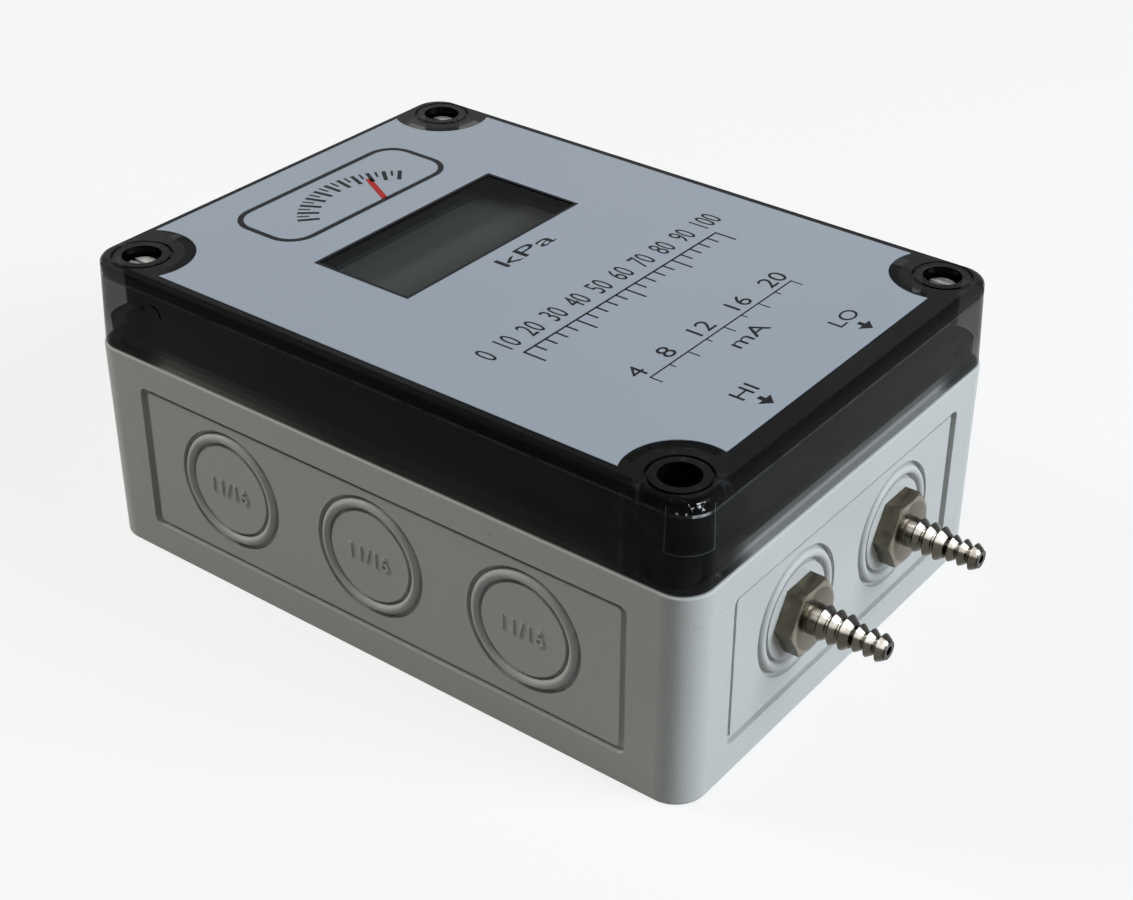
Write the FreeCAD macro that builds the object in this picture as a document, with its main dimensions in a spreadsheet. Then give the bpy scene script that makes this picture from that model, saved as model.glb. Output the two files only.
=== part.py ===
"""Differential pressure transmitter in a wall-mounting case, as a parametric FreeCAD document.

Frame: millimetres, +Z up. The origin is the middle of the case's underside. X runs along the long
side, and the two hose fittings point along +X. The lid closes on the seam plane, at base_height.
"""
import FreeCAD, Part
import math
import Sketcher
import os

Vector = FreeCAD.Vector

# Driving dimensions: alias, value, meaning. Lengths are millimetres and angles are degrees.
DIMENSIONS = (
    ("base_length", 130.0, "case length at the seam, along X"),
    ("base_width", 94.0, "case width at the seam, along Y"),
    ("base_height", 40.4, "underside to seam"),
    ("base_draft", 0.1, "mould draft of the outer walls"),
    ("corner_radius", 5.8, "upright corners of the case"),
    ("bottom_radius", 0.5, "edge round the underside"),
    ("seam_radius", 0.4, "edge round the top of the base"),
    ("base_wall", 3.2, "wall thickness at the seam"),
    ("base_floor", 3.0, "floor thickness"),
    ("screw_inset_x", 7.9, "lid screw axis from the end wall"),
    ("screw_inset_y", 7.1, "lid screw axis from the side wall"),
    ("notch_radius", 8.0, "inner face of the sealing wall round each lid screw"),
    ("tongue_corner", 1.6, "thickness of the sealing wall round each lid screw"),
    ("dome_radius", 7.5, "dome under the lid round each lid screw"),
    ("tongue_ledge", 1.8, "seam ledge outside the sealing tongue"),
    ("tongue_rise", 3.5, "sealing tongue above the seam"),
    ("well_radius", 5.5, "cored well round each screw boss"),
    ("well_depth", 32.0, "depth of that well below the seam"),
    ("boss_radius", 4.0, "boss that takes the threaded insert"),
    ("boss_gap", 0.1, "gap between boss and lid"),
    ("panel_margin_x", 11.8, "end of a side panel from the end wall"),
    ("panel_margin_y", 11.6, "end of an end panel from the side wall"),
    ("panel_low", 6.1, "lower edge of the panels"),
    ("panel_drop", 5.4, "upper edge of the panels below the seam"),
    ("panel_depth", 0.4, "sunk face of the panels"),
    ("panel_groove_width", 0.9, "level grooves of each panel"),
    ("panel_groove_side", 1.4, "upright grooves of each panel"),
    ("panel_groove_depth", 1.1, "groove depth from the wall face"),
    ("panel_corner", 1.4, "corner radius of the panels"),
    ("knockout_height", 21.1, "knock-out and hose axes above the underside"),
    ("knockout_radius", 11.65, "outer edge of the outer break-out groove"),
    ("knockout_pitch_x", 32.7, "knock-outs on the long sides"),
    ("knockout_pitch_y", 31.1, "knock-outs on the end walls"),
    ("groove_width", 0.8, "outer break-out groove"),
    ("inner_groove_width", 0.6, "inner break-out groove"),
    ("groove_depth", 1.0, "break-out grooves, from the panel face"),
    ("bead_width", 1.7, "rounded bead between the two grooves"),
    ("bead_drop", 0.1, "crest of the bead below the panel face"),
    ("mount_inset_x", 20.0, "wall-fixing hole from the end wall"),
    ("mount_inset_y", 10.0, "wall-fixing hole from the side wall"),
    ("mount_hole_radius", 2.2, "wall-fixing hole"),
    ("mount_pad_radius", 4.6, "raised pad round each wall-fixing hole"),
    ("mount_pad_rise", 1.2, "height of that pad"),
    ("lid_height", 16.6, "seam to lid top"),
    ("lid_gap", 0.3, "lid edge above the base at the seam"),
    ("lid_step", 0.3, "lid set in from the base all round"),
    ("lid_draft", 1.75, "draft of the lid walls"),
    ("lid_corner", 5.4, "upright corners of the lid"),
    ("lid_edge", 1.2, "edge round the lid top"),
    ("lid_wall", 3.5, "upper lid wall at the lid top"),
    ("lid_top", 2.4, "lid top plate"),
    ("skirt_wall", 1.35, "thin skirt round the tongue"),
    ("skirt_rise", 4.8, "skirt height above the seam"),
    ("bore_radius", 3.45, "screw well in the lid"),
    ("bore_depth", 8.5, "screw well from the lid top"),
    ("ring_radius", 5.4, "ring groove round each screw well"),
    ("ring_width", 0.55, "width of that ring groove"),
    ("ring_depth", 0.5, "depth of that ring groove"),
    ("gate_radius", 2.5, "round gate mark on the lid's long walls"),
    ("gate_width", 0.4, "groove of that mark"),
    ("gate_depth", 0.25, "groove of that mark"),
    ("gate_place", 48.5, "gate mark from the middle"),
    ("gate_drop", 6.7, "gate mark below the lid top"),
    ("gasket_width", 0.9, "foam gasket on the tongue"),
    ("gasket_inset", 0.1, "gasket in from the tongue's outer face"),
    ("label_margin_x", 4.4, "face label in from the case's end walls"),
    ("label_margin_y", 3.2, "face label in from the case's side walls"),
    ("label_shift", -1.5, "label middle from the lid middle, along X"),
    ("label_thickness", 0.2, "face label"),
    ("label_notch", 9.4, "label cut-out round each screw"),
    ("window_length", 47.0, "display window along Y"),
    ("window_width", 21.6, "display window along X"),
    ("window_place", -20.6, "middle of the display window along X"),
    ("window_corner", 0.4, "window corners"),
    ("shank_radius", 1.95, "lid screw shank"),
    ("shank_length", 14.0, "lid screw under its head"),
    ("shank_gap", 0.25, "lid hole round the shank"),
    ("head_radius", 3.2, "lid screw head"),
    ("head_height", 2.4, "lid screw head"),
    ("slot_width", 0.9, "screwdriver slot"),
    ("slot_depth", 1.1, "screwdriver slot"),
    ("insert_radius", 2.8, "brass insert"),
    ("insert_length", 8.0, "brass insert"),
    ("insert_bore_gap", 0.1, "insert bore round the shank"),
    ("hex_flats", 12.0, "hose fitting, across flats"),
    ("hex_height", 3.4, "hose fitting hexagon"),
    ("hex_chamfer", 1.2, "hexagon corner chamfer along the axis"),
    ("neck_radius", 2.7, "plain neck behind the barbs"),
    ("neck_length", 1.5, "plain neck behind the barbs"),
    ("barb_pitch", 2.03, "hose barb spacing"),
    ("barb_land", 1.2, "nearly straight top of a barb"),
    ("barb_drop", 0.75, "barb peak above its valley"),
    ("large_barb_radius", 3.1, "three barbs for the large hose"),
    ("small_barb_radius", 2.45, "three barbs for the small hose"),
    ("port_bore_radius", 1.2, "through bore of the fitting"),
    ("port_thread_radius", 5.0, "threaded shank through the wall"),
    ("port_hole_gap", 0.1, "hole round that shank"),
    ("washer_thickness", 1.0, "sealing washer inside the wall"),
    ("washer_radius", 8.0, "sealing washer inside the wall"),
    ("nut_flats", 14.0, "back nut, across flats"),
    ("nut_height", 3.0, "back nut"),
    ("inner_barb_radius", 1.7, "hose end inside the case"),
    ("inner_barb_length", 8.0, "hose end inside the case"),
    ("tube_wall", 0.9, "silicone tube"),
    ("tube_gap", 0.05, "tube bore round the hose ends"),
    ("tube_bend", 16.0, "bend radius of the tubes"),
    ("board_start", -50.0, "circuit board, end away from the ports"),
    ("board_length", 88.0, "circuit board along X"),
    ("board_width", 60.0, "circuit board along Y"),
    ("board_thickness", 1.6, "circuit boards"),
    ("board_lift", 10.0, "circuit board above the floor"),
    ("board_corner", 1.0, "circuit board corners"),
    ("board_hole_inset", 4.0, "fixing holes from the board edges"),
    ("pillar_radius", 3.2, "moulded pillars under the board"),
    ("pan_screw_radius", 1.25, "board screws"),
    ("pan_head_radius", 2.5, "board screws"),
    ("pan_head_height", 1.6, "board screws"),
    ("pan_screw_length", 7.0, "board screws"),
    ("screw_clearance", 0.1, "holes round small screws"),
    ("sensor_length", 18.0, "pressure sensor along X"),
    ("sensor_width", 18.0, "pressure sensor along Y"),
    ("sensor_height", 10.5, "pressure sensor"),
    ("sensor_place", -16.0, "sensor, end away from the ports"),
    ("nozzle_pitch", 10.0, "sensor nozzles"),
    ("nozzle_length", 7.0, "sensor nozzles"),
    ("terminal_start", 6.0, "terminal block along X"),
    ("terminal_edge", -29.0, "terminal block, wire side"),
    ("terminal_pitch", 5.08, "terminal spacing"),
    ("terminal_depth", 9.0, "terminal block along Y"),
    ("terminal_height", 11.0, "terminal block"),
    ("terminal_screw_radius", 1.6, "terminal screws"),
    ("trimmer_side", 9.5, "trimmer bodies"),
    ("trimmer_height", 5.0, "trimmer bodies"),
    ("trimmer_start", 6.0, "trimmers along X"),
    ("trimmer_pitch", 13.0, "the two trimmers"),
    ("trimmer_edge", 18.5, "trimmers, inner side"),
    ("rotor_radius", 2.2, "slotted rotor of a trimmer"),
    ("rotor_gap", 0.05, "running gap round a rotor"),
    ("rotor_depth", 1.8, "rotor seat in the trimmer"),
    ("rotor_rise", 0.3, "rotor above the trimmer"),
    ("display_board_length", 58.0, "display board along Y"),
    ("display_board_width", 43.0, "display board along X"),
    ("display_gap", 1.5, "display frame below the lid plate"),
    ("frame_length", 56.0, "display frame along Y"),
    ("frame_width", 30.0, "display frame along X"),
    ("frame_height", 5.6, "display frame"),
    ("frame_rim", 1.6, "frame edge over the glass"),
    ("frame_wall", 1.2, "frame wall"),
    ("glass_thickness", 2.2, "display glass"),
    ("spacer_inset", 3.5, "spacers from the display board edges"),
    ("spacer_flats", 5.0, "hexagon spacers"),
    ("spacer_stud_radius", 1.4, "stud of each spacer through the circuit board"),
    ("spacer_stud_length", 4.0, "stud under the spacer"),
    ("ribbon_width", 14.0, "ribbon between the two boards"),
    ("ribbon_thickness", 0.9, "ribbon between the two boards"),
    ("ribbon_place", -31.0, "ribbon along X"),
    ("connector_width", 5.5, "ribbon connectors along X"),
    ("connector_height", 6.0, "ribbon connectors"),
)


class Measure:
    """A size known twice: as a number, and as an expression on the sheet that drives the model."""

    def __init__(self, text, value):
        self.text = text
        self.value = value

    def _join(self, sign, other, value):
        return Measure(f"({self.text} {sign} {other.text})", value)

    def __add__(self, other):
        other = measure(other)
        return self._join("+", other, self.value + other.value)

    def __sub__(self, other):
        other = measure(other)
        return self._join("-", other, self.value - other.value)

    def __mul__(self, other):
        other = measure(other)
        return self._join("*", other, self.value * other.value)

    def __truediv__(self, other):
        other = measure(other)
        return self._join("/", other, self.value / other.value)

    def __neg__(self):
        return Measure(f"(-1 * {self.text})", -self.value)

    def __radd__(self, other):
        return measure(other) + self

    def __rsub__(self, other):
        return measure(other) - self

    def __rmul__(self, other):
        return measure(other) * self


def measure(value):
    """A plain number as a Measure, so that the two can be mixed."""
    if isinstance(value, Measure):
        return value
    return Measure(repr(float(value)), float(value))


def tangent(angle):
    return Measure(f"tan({angle.text} * 1 deg)", math.tan(math.radians(angle.value)))


# --- document and sheet ---------------------------------------------------------------------------

doc = FreeCAD.newDocument("pressure_transmitter")
sheet = doc.addObject("Spreadsheet::Sheet", "Sizes")
D = {}
for row, (alias, value, meaning) in enumerate(DIMENSIONS, start=1):
    sheet.set(f"A{row}", meaning)
    sheet.set(f"B{row}", str(value))
    sheet.setAlias(f"B{row}", alias)
    D[alias] = Measure(f"Sizes.{alias}", float(value))
doc.recompute()

ZERO = measure(0)
CORNERS = ((1, 1), (-1, 1), (-1, -1), (1, -1))
pieces = {}


# --- helpers for bodies, sketches and features ----------------------------------------------------

def new_body(name, place=(0, 0, 0), turn=None):
    """A PartDesign body that becomes the node of the same name."""
    body = doc.addObject("PartDesign::Body", name)
    body.Label = name
    if turn:
        body.Placement = FreeCAD.Placement(Vector(0, 0, 0), FreeCAD.Rotation(*turn))
    bind_place(body, place)
    pieces[name] = body
    return body


def bind_place(item, place):
    """Bind an object's position to the sheet."""
    for axis, amount in zip("xyz", place):
        amount = measure(amount)
        if amount.value or amount.text.startswith("("):
            item.setExpression(f"Placement.Base.{axis}", amount.text)


def new_sketch(body, plane="XY", offset=0, tilt=None):
    """A sketch on one of the body's own planes, moved along that plane's normal."""
    sketch = body.newObject("Sketcher::SketchObject", f"{body.Name}_sketch")
    role = f"{plane}_Plane"
    origin_plane = [item for item in body.Origin.OriginFeatures if item.Role == role][0]
    sketch.AttachmentSupport = [(origin_plane, "")]
    sketch.MapMode = "FlatFace"
    offset = measure(offset)
    if tilt:
        axis, angle = tilt
        sketch.AttachmentOffset = FreeCAD.Placement(
            Vector(0, 0, offset.value), FreeCAD.Rotation(axis, angle.value)
        )
        sketch.setExpression("AttachmentOffset.Rotation.Angle", angle.text)
    sketch.setExpression("AttachmentOffset.Base.z", offset.text)
    return sketch


def pin(sketch, geometry, end, x, y):
    """Fix one point of a sketch at x, y by driving dimensions."""
    x, y = measure(x), measure(y)
    for kind, axis_line, amount in (("DistanceX", -2, x), ("DistanceY", -1, y)):
        if amount.text == ZERO.text:
            sketch.addConstraint(Sketcher.Constraint("PointOnObject", geometry, end, axis_line))
        else:
            index = sketch.addConstraint(
                Sketcher.Constraint(kind, -1, 1, geometry, end, amount.value)
            )
            sketch.setExpression(f"Constraints[{index}]", amount.text)


def drive(sketch, kind, geometry, amount):
    """Give a radius or a line position from the sheet."""
    index = sketch.addConstraint(Sketcher.Constraint(kind, geometry, amount.value))
    sketch.setExpression(f"Constraints[{index}]", amount.text)


def polygon(sketch, points):
    """A closed outline with straight sides, each corner driven by the sheet."""
    corners = [(measure(x), measure(y)) for x, y in points]
    first = sketch.GeometryCount
    count = len(corners)
    for index in range(count):
        here = corners[index]
        after = corners[(index + 1) % count]
        sketch.addGeometry(
            Part.LineSegment(
                Vector(here[0].value, here[1].value, 0), Vector(after[0].value, after[1].value, 0)
            )
        )
    for index in range(count):
        sketch.addConstraint(
            Sketcher.Constraint("Coincident", first + index, 2, first + (index + 1) % count, 1)
        )
    for index, (x, y) in enumerate(corners):
        pin(sketch, first + index, 1, x, y)


def rectangle(sketch, half_x, half_y, x=0, y=0):
    """A rectangle about a middle point."""
    polygon(sketch, [(x + sx * half_x, y + sy * half_y) for sx, sy in CORNERS])


def circle(sketch, x, y, radius):
    x, y, radius = measure(x), measure(y), measure(radius)
    index = sketch.addGeometry(
        Part.Circle(Vector(x.value, y.value, 0), Vector(0, 0, 1), radius.value)
    )
    pin(sketch, index, 3, x, y)
    drive(sketch, "Radius", index, radius)


def rounded_rectangle(sketch, half_x, half_y, radius, x=0, y=0):
    """Four straight sides joined by tangent corner arcs."""
    half_x, half_y, radius = measure(half_x), measure(half_y), measure(radius)
    x, y = measure(x), measure(y)
    first = sketch.GeometryCount
    centres = [
        (x + sx * (half_x - radius), y + sy * (half_y - radius)) for sx, sy in CORNERS
    ]
    for index, centre in enumerate(centres):
        middle = Vector(centre[0].value, centre[1].value, 0)
        start = index * math.pi / 2
        sketch.addGeometry(
            Part.ArcOfCircle(
                Part.Circle(middle, Vector(0, 0, 1), radius.value), start, start + math.pi / 2
            )
        )
    for index in range(4):
        ends = []
        for corner, angle in ((index, (index + 1) * math.pi / 2), ((index + 1) % 4, (index + 1) * math.pi / 2)):
            centre = centres[corner]
            ends.append(
                Vector(
                    centre[0].value + radius.value * math.cos(angle),
                    centre[1].value + radius.value * math.sin(angle),
                    0,
                )
            )
        sketch.addGeometry(Part.LineSegment(*ends))
    for index in range(4):
        line = first + 4 + index
        sketch.addConstraint(Sketcher.Constraint("Tangent", first + index, 2, line, 1))
        sketch.addConstraint(Sketcher.Constraint("Tangent", line, 2, first + (index + 1) % 4, 1))
    for index, centre in enumerate(centres):
        pin(sketch, first + index, 3, *centre)
        drive(sketch, "Radius", first + index, radius)


def notched_rectangle(sketch, half_x, half_y, notch, x=0):
    """A rectangle whose corners are cut back by arcs about the four lid screws."""
    half_x, half_y, notch, x = measure(half_x), measure(half_y), measure(notch), measure(x)
    centres = [(sx * screw_x, sy * screw_y) for sx, sy in CORNERS]
    ends = []
    for (sx, sy), (centre_x, centre_y) in zip(CORNERS, centres):
        reach_x = (x + sx * half_x).value - centre_x.value
        reach_y = sy * half_y.value - centre_y.value
        on_end = Vector(
            centre_x.value + reach_x,
            centre_y.value - sy * math.sqrt(notch.value ** 2 - reach_x ** 2),
            0,
        )
        on_side = Vector(
            centre_x.value - sx * math.sqrt(notch.value ** 2 - reach_y ** 2),
            centre_y.value + reach_y,
            0,
        )
        ends.append((on_end, on_side) if sx * sy > 0 else (on_side, on_end))
    first = sketch.GeometryCount
    for (start, finish), (centre_x, centre_y) in zip(ends, centres):
        middle = Vector(centre_x.value, centre_y.value, 0)
        from_angle = math.atan2(finish.y - middle.y, finish.x - middle.x)
        to_angle = math.atan2(start.y - middle.y, start.x - middle.x)
        if to_angle < from_angle:
            to_angle += 2 * math.pi
        sketch.addGeometry(
            Part.ArcOfCircle(
                Part.Circle(middle, Vector(0, 0, 1), notch.value), from_angle, to_angle
            )
        )
    for index in range(4):
        sketch.addGeometry(Part.LineSegment(ends[index][1], ends[(index + 1) % 4][0]))
    for index in range(4):
        line = first + 4 + index
        sketch.addConstraint(Sketcher.Constraint("Coincident", first + index, 1, line, 1))
        sketch.addConstraint(Sketcher.Constraint("Coincident", line, 2, first + (index + 1) % 4, 2))
        sketch.addConstraint(Sketcher.Constraint("Horizontal" if index % 2 == 0 else "Vertical", line))
    for index, (centre_x, centre_y) in enumerate(centres):
        pin(sketch, first + index, 3, centre_x, centre_y)
        drive(sketch, "Radius", first + index, notch)
    for line, kind, amount in (
        (4, "DistanceY", half_y),
        (5, "DistanceX", x - half_x),
        (6, "DistanceY", -half_y),
        (7, "DistanceX", x + half_x),
    ):
        index = sketch.addConstraint(
            Sketcher.Constraint(kind, -1, 1, first + line, 1, amount.value)
        )
        sketch.setExpression(f"Constraints[{index}]", amount.text)


def hexagon(sketch, flats, x=0, y=0, turn=0):
    """A regular hexagon by its size across flats; turn is the angle of its first corner."""
    radius = measure(flats) * (1 / math.sqrt(3))
    points = []
    for side in range(6):
        angle = math.radians(turn + 60 * side)
        points.append((x + radius * math.cos(angle), y + radius * math.sin(angle)))
    polygon(sketch, points)


def add(body, kind, sketch, **settings):
    """A PartDesign feature on a sketch; Measures are bound and other settings are stored."""
    feature = body.newObject(f"PartDesign::{kind}", f"{body.Name}_{kind.lower()}")
    feature.Profile = sketch
    for name, amount in settings.items():
        if isinstance(amount, Measure):
            feature.setExpression(name, amount.text)
        else:
            setattr(feature, name, amount)
    sketch.Visibility = False
    doc.recompute()
    return feature


def pad(body, sketch, length, **settings):
    return add(body, "Pad", sketch, Length=measure(length), **settings)


def pocket(body, sketch, depth, **settings):
    """Cut into the body, and stop if nothing was cut."""
    before = body.Shape.Volume
    feature = add(body, "Pocket", sketch, Length=measure(depth), **settings)
    if body.Shape.Volume > before - 1e-6:
        raise RuntimeError(f"{feature.Name} in {body.Name} cut nothing")
    return feature


def axis_of(body, role):
    return ([item for item in body.Origin.OriginFeatures if item.Role == role][0], [""])


def spin(body, sketch, axis, kind="Revolution"):
    """A full turn of a sketch about one of the body's own axes."""
    before = body.Shape.Volume if kind == "Groove" else 0
    feature = add(body, kind, sketch, ReferenceAxis=axis_of(body, axis), Angle=measure(360))
    if kind == "Groove" and body.Shape.Volume > before - 1e-6:
        raise RuntimeError(f"{feature.Name} in {body.Name} cut nothing")
    return feature


def dress(body, kind, amount, choose, name="Radius"):
    """Fillet or chamfer the edges that choose(edge) picks."""
    tip = body.Tip
    names = [f"Edge{i}" for i, edge in enumerate(tip.Shape.Edges, start=1) if choose(edge)]
    if not names:
        raise RuntimeError(f"no edges to dress on {body.Name}")
    feature = body.newObject(f"PartDesign::{kind}", f"{body.Name}_{kind.lower()}")
    feature.Base = (tip, names)
    feature.setExpression(name, measure(amount).text)
    doc.recompute()
    return feature


def pattern(body, original, kind, **settings):
    """A linear pattern or mirror of one feature, set as the body's tip."""
    feature = body.newObject(f"PartDesign::{kind}", f"{body.Name}_{kind.lower()}")
    feature.Originals = [original]
    for name, amount in settings.items():
        if isinstance(amount, Measure):
            feature.setExpression(name, amount.text)
        else:
            setattr(feature, name, amount)
    body.Tip = feature
    doc.recompute()
    return feature


def upright(edge):
    """True for an edge that runs nearly along Z from end to end."""
    box = edge.BoundBox
    return box.ZLength > 10 * math.hypot(box.XLength, box.YLength)


def at_height(height, slack=0.01):
    """A test for edges that lie in one level plane."""
    def test(edge):
        box = edge.BoundBox
        return abs(box.ZMin - height) < slack and abs(box.ZMax - height) < slack
    return test


def simple(kind, name, place=(0, 0, 0), turn=None, keep=False, **settings):
    """A Part primitive with bound sizes; kept as a node only if asked."""
    item = doc.addObject(f"Part::{kind}", name)
    for key, amount in settings.items():
        item.setExpression(key, measure(amount).text)
    if turn:
        item.Placement = FreeCAD.Placement(Vector(0, 0, 0), FreeCAD.Rotation(*turn))
    bind_place(item, place)
    if keep:
        item.Label = name
        pieces[name] = item
    return item


def group(name, items):
    """Several separate solids of one kind, as one node."""
    item = doc.addObject("Part::Compound", name)
    item.Links = items
    item.Label = name
    pieces[name] = item
    return item


# --- places shared by several pieces --------------------------------------------------------------

half_length = D["base_length"] / 2
half_width = D["base_width"] / 2
screw_x = half_length - D["screw_inset_x"]
screw_y = half_width - D["screw_inset_y"]
seam = D["base_height"]
lid_top = seam + D["lid_height"]
skirt_top = seam + D["skirt_rise"]
plate_under = lid_top - D["lid_top"]
cavity_x = half_length - D["base_wall"]
cavity_y = half_width - D["base_wall"]
boss_top = skirt_top - D["boss_gap"]
tongue_x = half_length - D["tongue_ledge"]
tongue_y = half_width - D["tongue_ledge"]
tongue_top = seam + D["tongue_rise"]
board_under = D["base_floor"] + D["board_lift"]
board_top = board_under + D["board_thickness"]
board_middle = D["board_start"] + D["board_length"] / 2
port_z = D["knockout_height"]
port_y = D["knockout_pitch_y"] / 2
wall_lean = tangent(D["base_draft"])
panel_face_x = half_length - (seam - port_z) * wall_lean - D["panel_depth"]
port_seat = panel_face_x + 0.07
head_under = lid_top - D["bore_depth"]
frame_top = plate_under - D["display_gap"]
display_board_top = frame_top - D["frame_height"]
display_board_under = display_board_top - D["board_thickness"]


# --- base of the case -----------------------------------------------------------------------------

def make_base():
    base = new_body("base_housing")
    sketch = new_sketch(base, "XY", seam)
    rectangle(sketch, half_length, half_width)
    pad(base, sketch, seam, Reversed=True, TaperAngle=-D["base_draft"])
    dress(base, "Fillet", D["corner_radius"], upright)
    dress(base, "Fillet", D["bottom_radius"], at_height(0))
    dress(base, "Fillet", D["seam_radius"], at_height(seam.value))

    # cavity, kept clear of the screw corners by the sealing wall's arcs
    sketch = new_sketch(base, "XY", seam)
    notched_rectangle(sketch, cavity_x, cavity_y, D["notch_radius"])
    pocket(base, sketch, seam - D["base_floor"])

    # sealing tongue that stands above the seam
    sketch = new_sketch(base, "XY", seam)
    notched_rectangle(sketch, tongue_x, tongue_y, D["notch_radius"] - D["tongue_corner"])
    notched_rectangle(sketch, cavity_x, cavity_y, D["notch_radius"])
    pad(base, sketch, D["tongue_rise"])

    # screw bosses in their wells
    sketch = new_sketch(base, "XY", seam)
    for sx, sy in CORNERS:
        circle(sketch, sx * screw_x, sy * screw_y, D["well_radius"])
    pocket(base, sketch, D["well_depth"])
    sketch = new_sketch(base, "XY", seam - D["well_depth"])
    for sx, sy in CORNERS:
        circle(sketch, sx * screw_x, sy * screw_y, D["boss_radius"])
    pad(base, sketch, boss_top - seam + D["well_depth"])
    sketch = new_sketch(base, "XY", boss_top)
    for sx, sy in CORNERS:
        circle(sketch, sx * screw_x, sy * screw_y, D["insert_radius"])
    pocket(base, sketch, D["insert_length"])
    sketch = new_sketch(base, "XY", boss_top - D["insert_length"])
    for sx, sy in CORNERS:
        circle(sketch, sx * screw_x, sy * screw_y, D["shank_radius"] + D["shank_gap"])
    pocket(base, sketch, D["shank_length"])

    # board pillars and wall-fixing pads on the floor
    sketch = new_sketch(base, "XY", D["base_floor"])
    for sx, sy in CORNERS:
        circle(sketch, *board_hole(sx, sy), D["pillar_radius"])
    pad(base, sketch, D["board_lift"])
    sketch = new_sketch(base, "XY", board_under)
    for sx, sy in CORNERS:
        circle(sketch, *board_hole(sx, sy), D["pan_screw_radius"] + D["screw_clearance"])
    pocket(base, sketch, D["pan_screw_length"])
    sketch = new_sketch(base, "XY", D["base_floor"])
    for sx, sy in CORNERS:
        circle(sketch, *mount_hole(sx, sy), D["mount_pad_radius"])
    pad(base, sketch, D["mount_pad_rise"])
    sketch = new_sketch(base, "XY", D["base_floor"] + D["mount_pad_rise"])
    for sx, sy in CORNERS:
        circle(sketch, *mount_hole(sx, sy), D["mount_hole_radius"])
    pocket(base, sketch, D["base_floor"] + D["mount_pad_rise"])

    make_panel(base, "XZ", half_length - D["panel_margin_x"], half_width, D["knockout_pitch_x"], 3)
    make_panel(base, "YZ", half_width - D["panel_margin_y"], half_length, D["knockout_pitch_y"], 2)

    # holes for the two fittings, through the end wall's knock-outs
    sketch = new_sketch(base, "YZ", half_length)
    for side in (-1, 1):
        circle(sketch, side * port_y, port_z, D["port_thread_radius"] + D["port_hole_gap"])
    pocket(base, sketch, D["base_wall"] + D["tongue_ledge"])


def board_hole(sx, sy):
    reach = D["board_length"] / 2 - D["board_hole_inset"]
    return board_middle + sx * reach, sy * (D["board_width"] / 2 - D["board_hole_inset"])


def mount_hole(sx, sy):
    return sx * (half_length - D["mount_inset_x"]), sy * (half_width - D["mount_inset_y"])


def make_panel(base, plane, half_span, reach, pitch, count):
    """Sunk panel with a groove round it and a row of knock-outs, on both opposite walls."""
    top = seam - D["panel_drop"]
    middle = (top + D["panel_low"]) / 2
    half_rise = (top - D["panel_low"]) / 2
    mirror_role = "XZ_Plane" if plane == "XZ" else "YZ_Plane"
    # the sketch leans with the drafted wall and stands a little in front of it
    clear = measure(0.3)
    foot = reach - seam * wall_lean + clear
    for hollow, depth in ((False, D["panel_depth"]), (True, D["panel_groove_depth"])):
        sketch = new_sketch(base, plane, foot, (Vector(1, 0, 0), D["base_draft"]))
        rounded_rectangle(sketch, half_span, half_rise, D["panel_corner"], y=middle)
        if hollow:
            inner_span = half_span - D["panel_groove_side"]
            inner_rise = half_rise - D["panel_groove_width"]
            rounded_rectangle(sketch, inner_span, inner_rise, D["panel_corner"] / 2, y=middle)
        cut = pocket(base, sketch, depth + clear)
        pattern(base, cut, "Mirrored", MirrorPlane=axis_of(base, mirror_role))
    face = reach - (seam - port_z) * wall_lean - D["panel_depth"]
    for step in range(count):
        along = (step - (count - 1) / 2) * pitch
        cut = knockout(base, plane, along, face)
        pattern(base, cut, "Mirrored", MirrorPlane=axis_of(base, mirror_role))


def knockout(base, plane, along, face):
    """One knock-out: two break-out grooves and the rounded bead between them, turned as a ring."""
    sketch = new_sketch(base, "XY", port_z)
    deep = face - D["groove_depth"]
    above = face + 1
    outer = D["knockout_radius"]
    slope = D["groove_width"] * 0.1
    half_bead = D["bead_width"] / 2
    crest = face - D["bead_drop"]
    middle = outer - D["groove_width"] - half_bead
    inner = middle - half_bead - D["inner_groove_width"]
    ring = [
        (outer + slope, above),
        (outer - slope, deep),
        (middle + half_bead, deep),
        (middle + half_bead * 0.7, crest - half_bead * 0.25),
        (middle, crest),
        (middle - half_bead * 0.7, crest - half_bead * 0.25),
        (middle - half_bead, deep),
        (inner + slope, deep),
        (inner - slope, above),
    ]
    if plane == "XZ":
        polygon(sketch, [(along + r, -level) for r, level in ring])
        ends = ((along, -deep), (along, -above))
    else:
        polygon(sketch, [(level, along + r) for r, level in ring])
        ends = ((deep, along), (above, along))
    ends = [(measure(x), measure(y)) for x, y in ends]
    line = sketch.addGeometry(
        Part.LineSegment(*[Vector(x.value, y.value, 0) for x, y in ends]), True
    )
    for end, (x, y) in enumerate(ends, start=1):
        pin(sketch, line, end, x, y)
    before = base.Shape.Volume
    feature = base.newObject("PartDesign::Groove", "knockout_groove")
    feature.Profile = sketch
    feature.ReferenceAxis = (sketch, ["Axis0"])
    feature.Angle = 360
    sketch.Visibility = False
    doc.recompute()
    if base.Shape.Volume > before - 1e-6:
        raise RuntimeError("a knock-out groove cut nothing")
    return feature


make_base()


# --- lid, gasket, face label and lid screws -------------------------------------------------------

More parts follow.
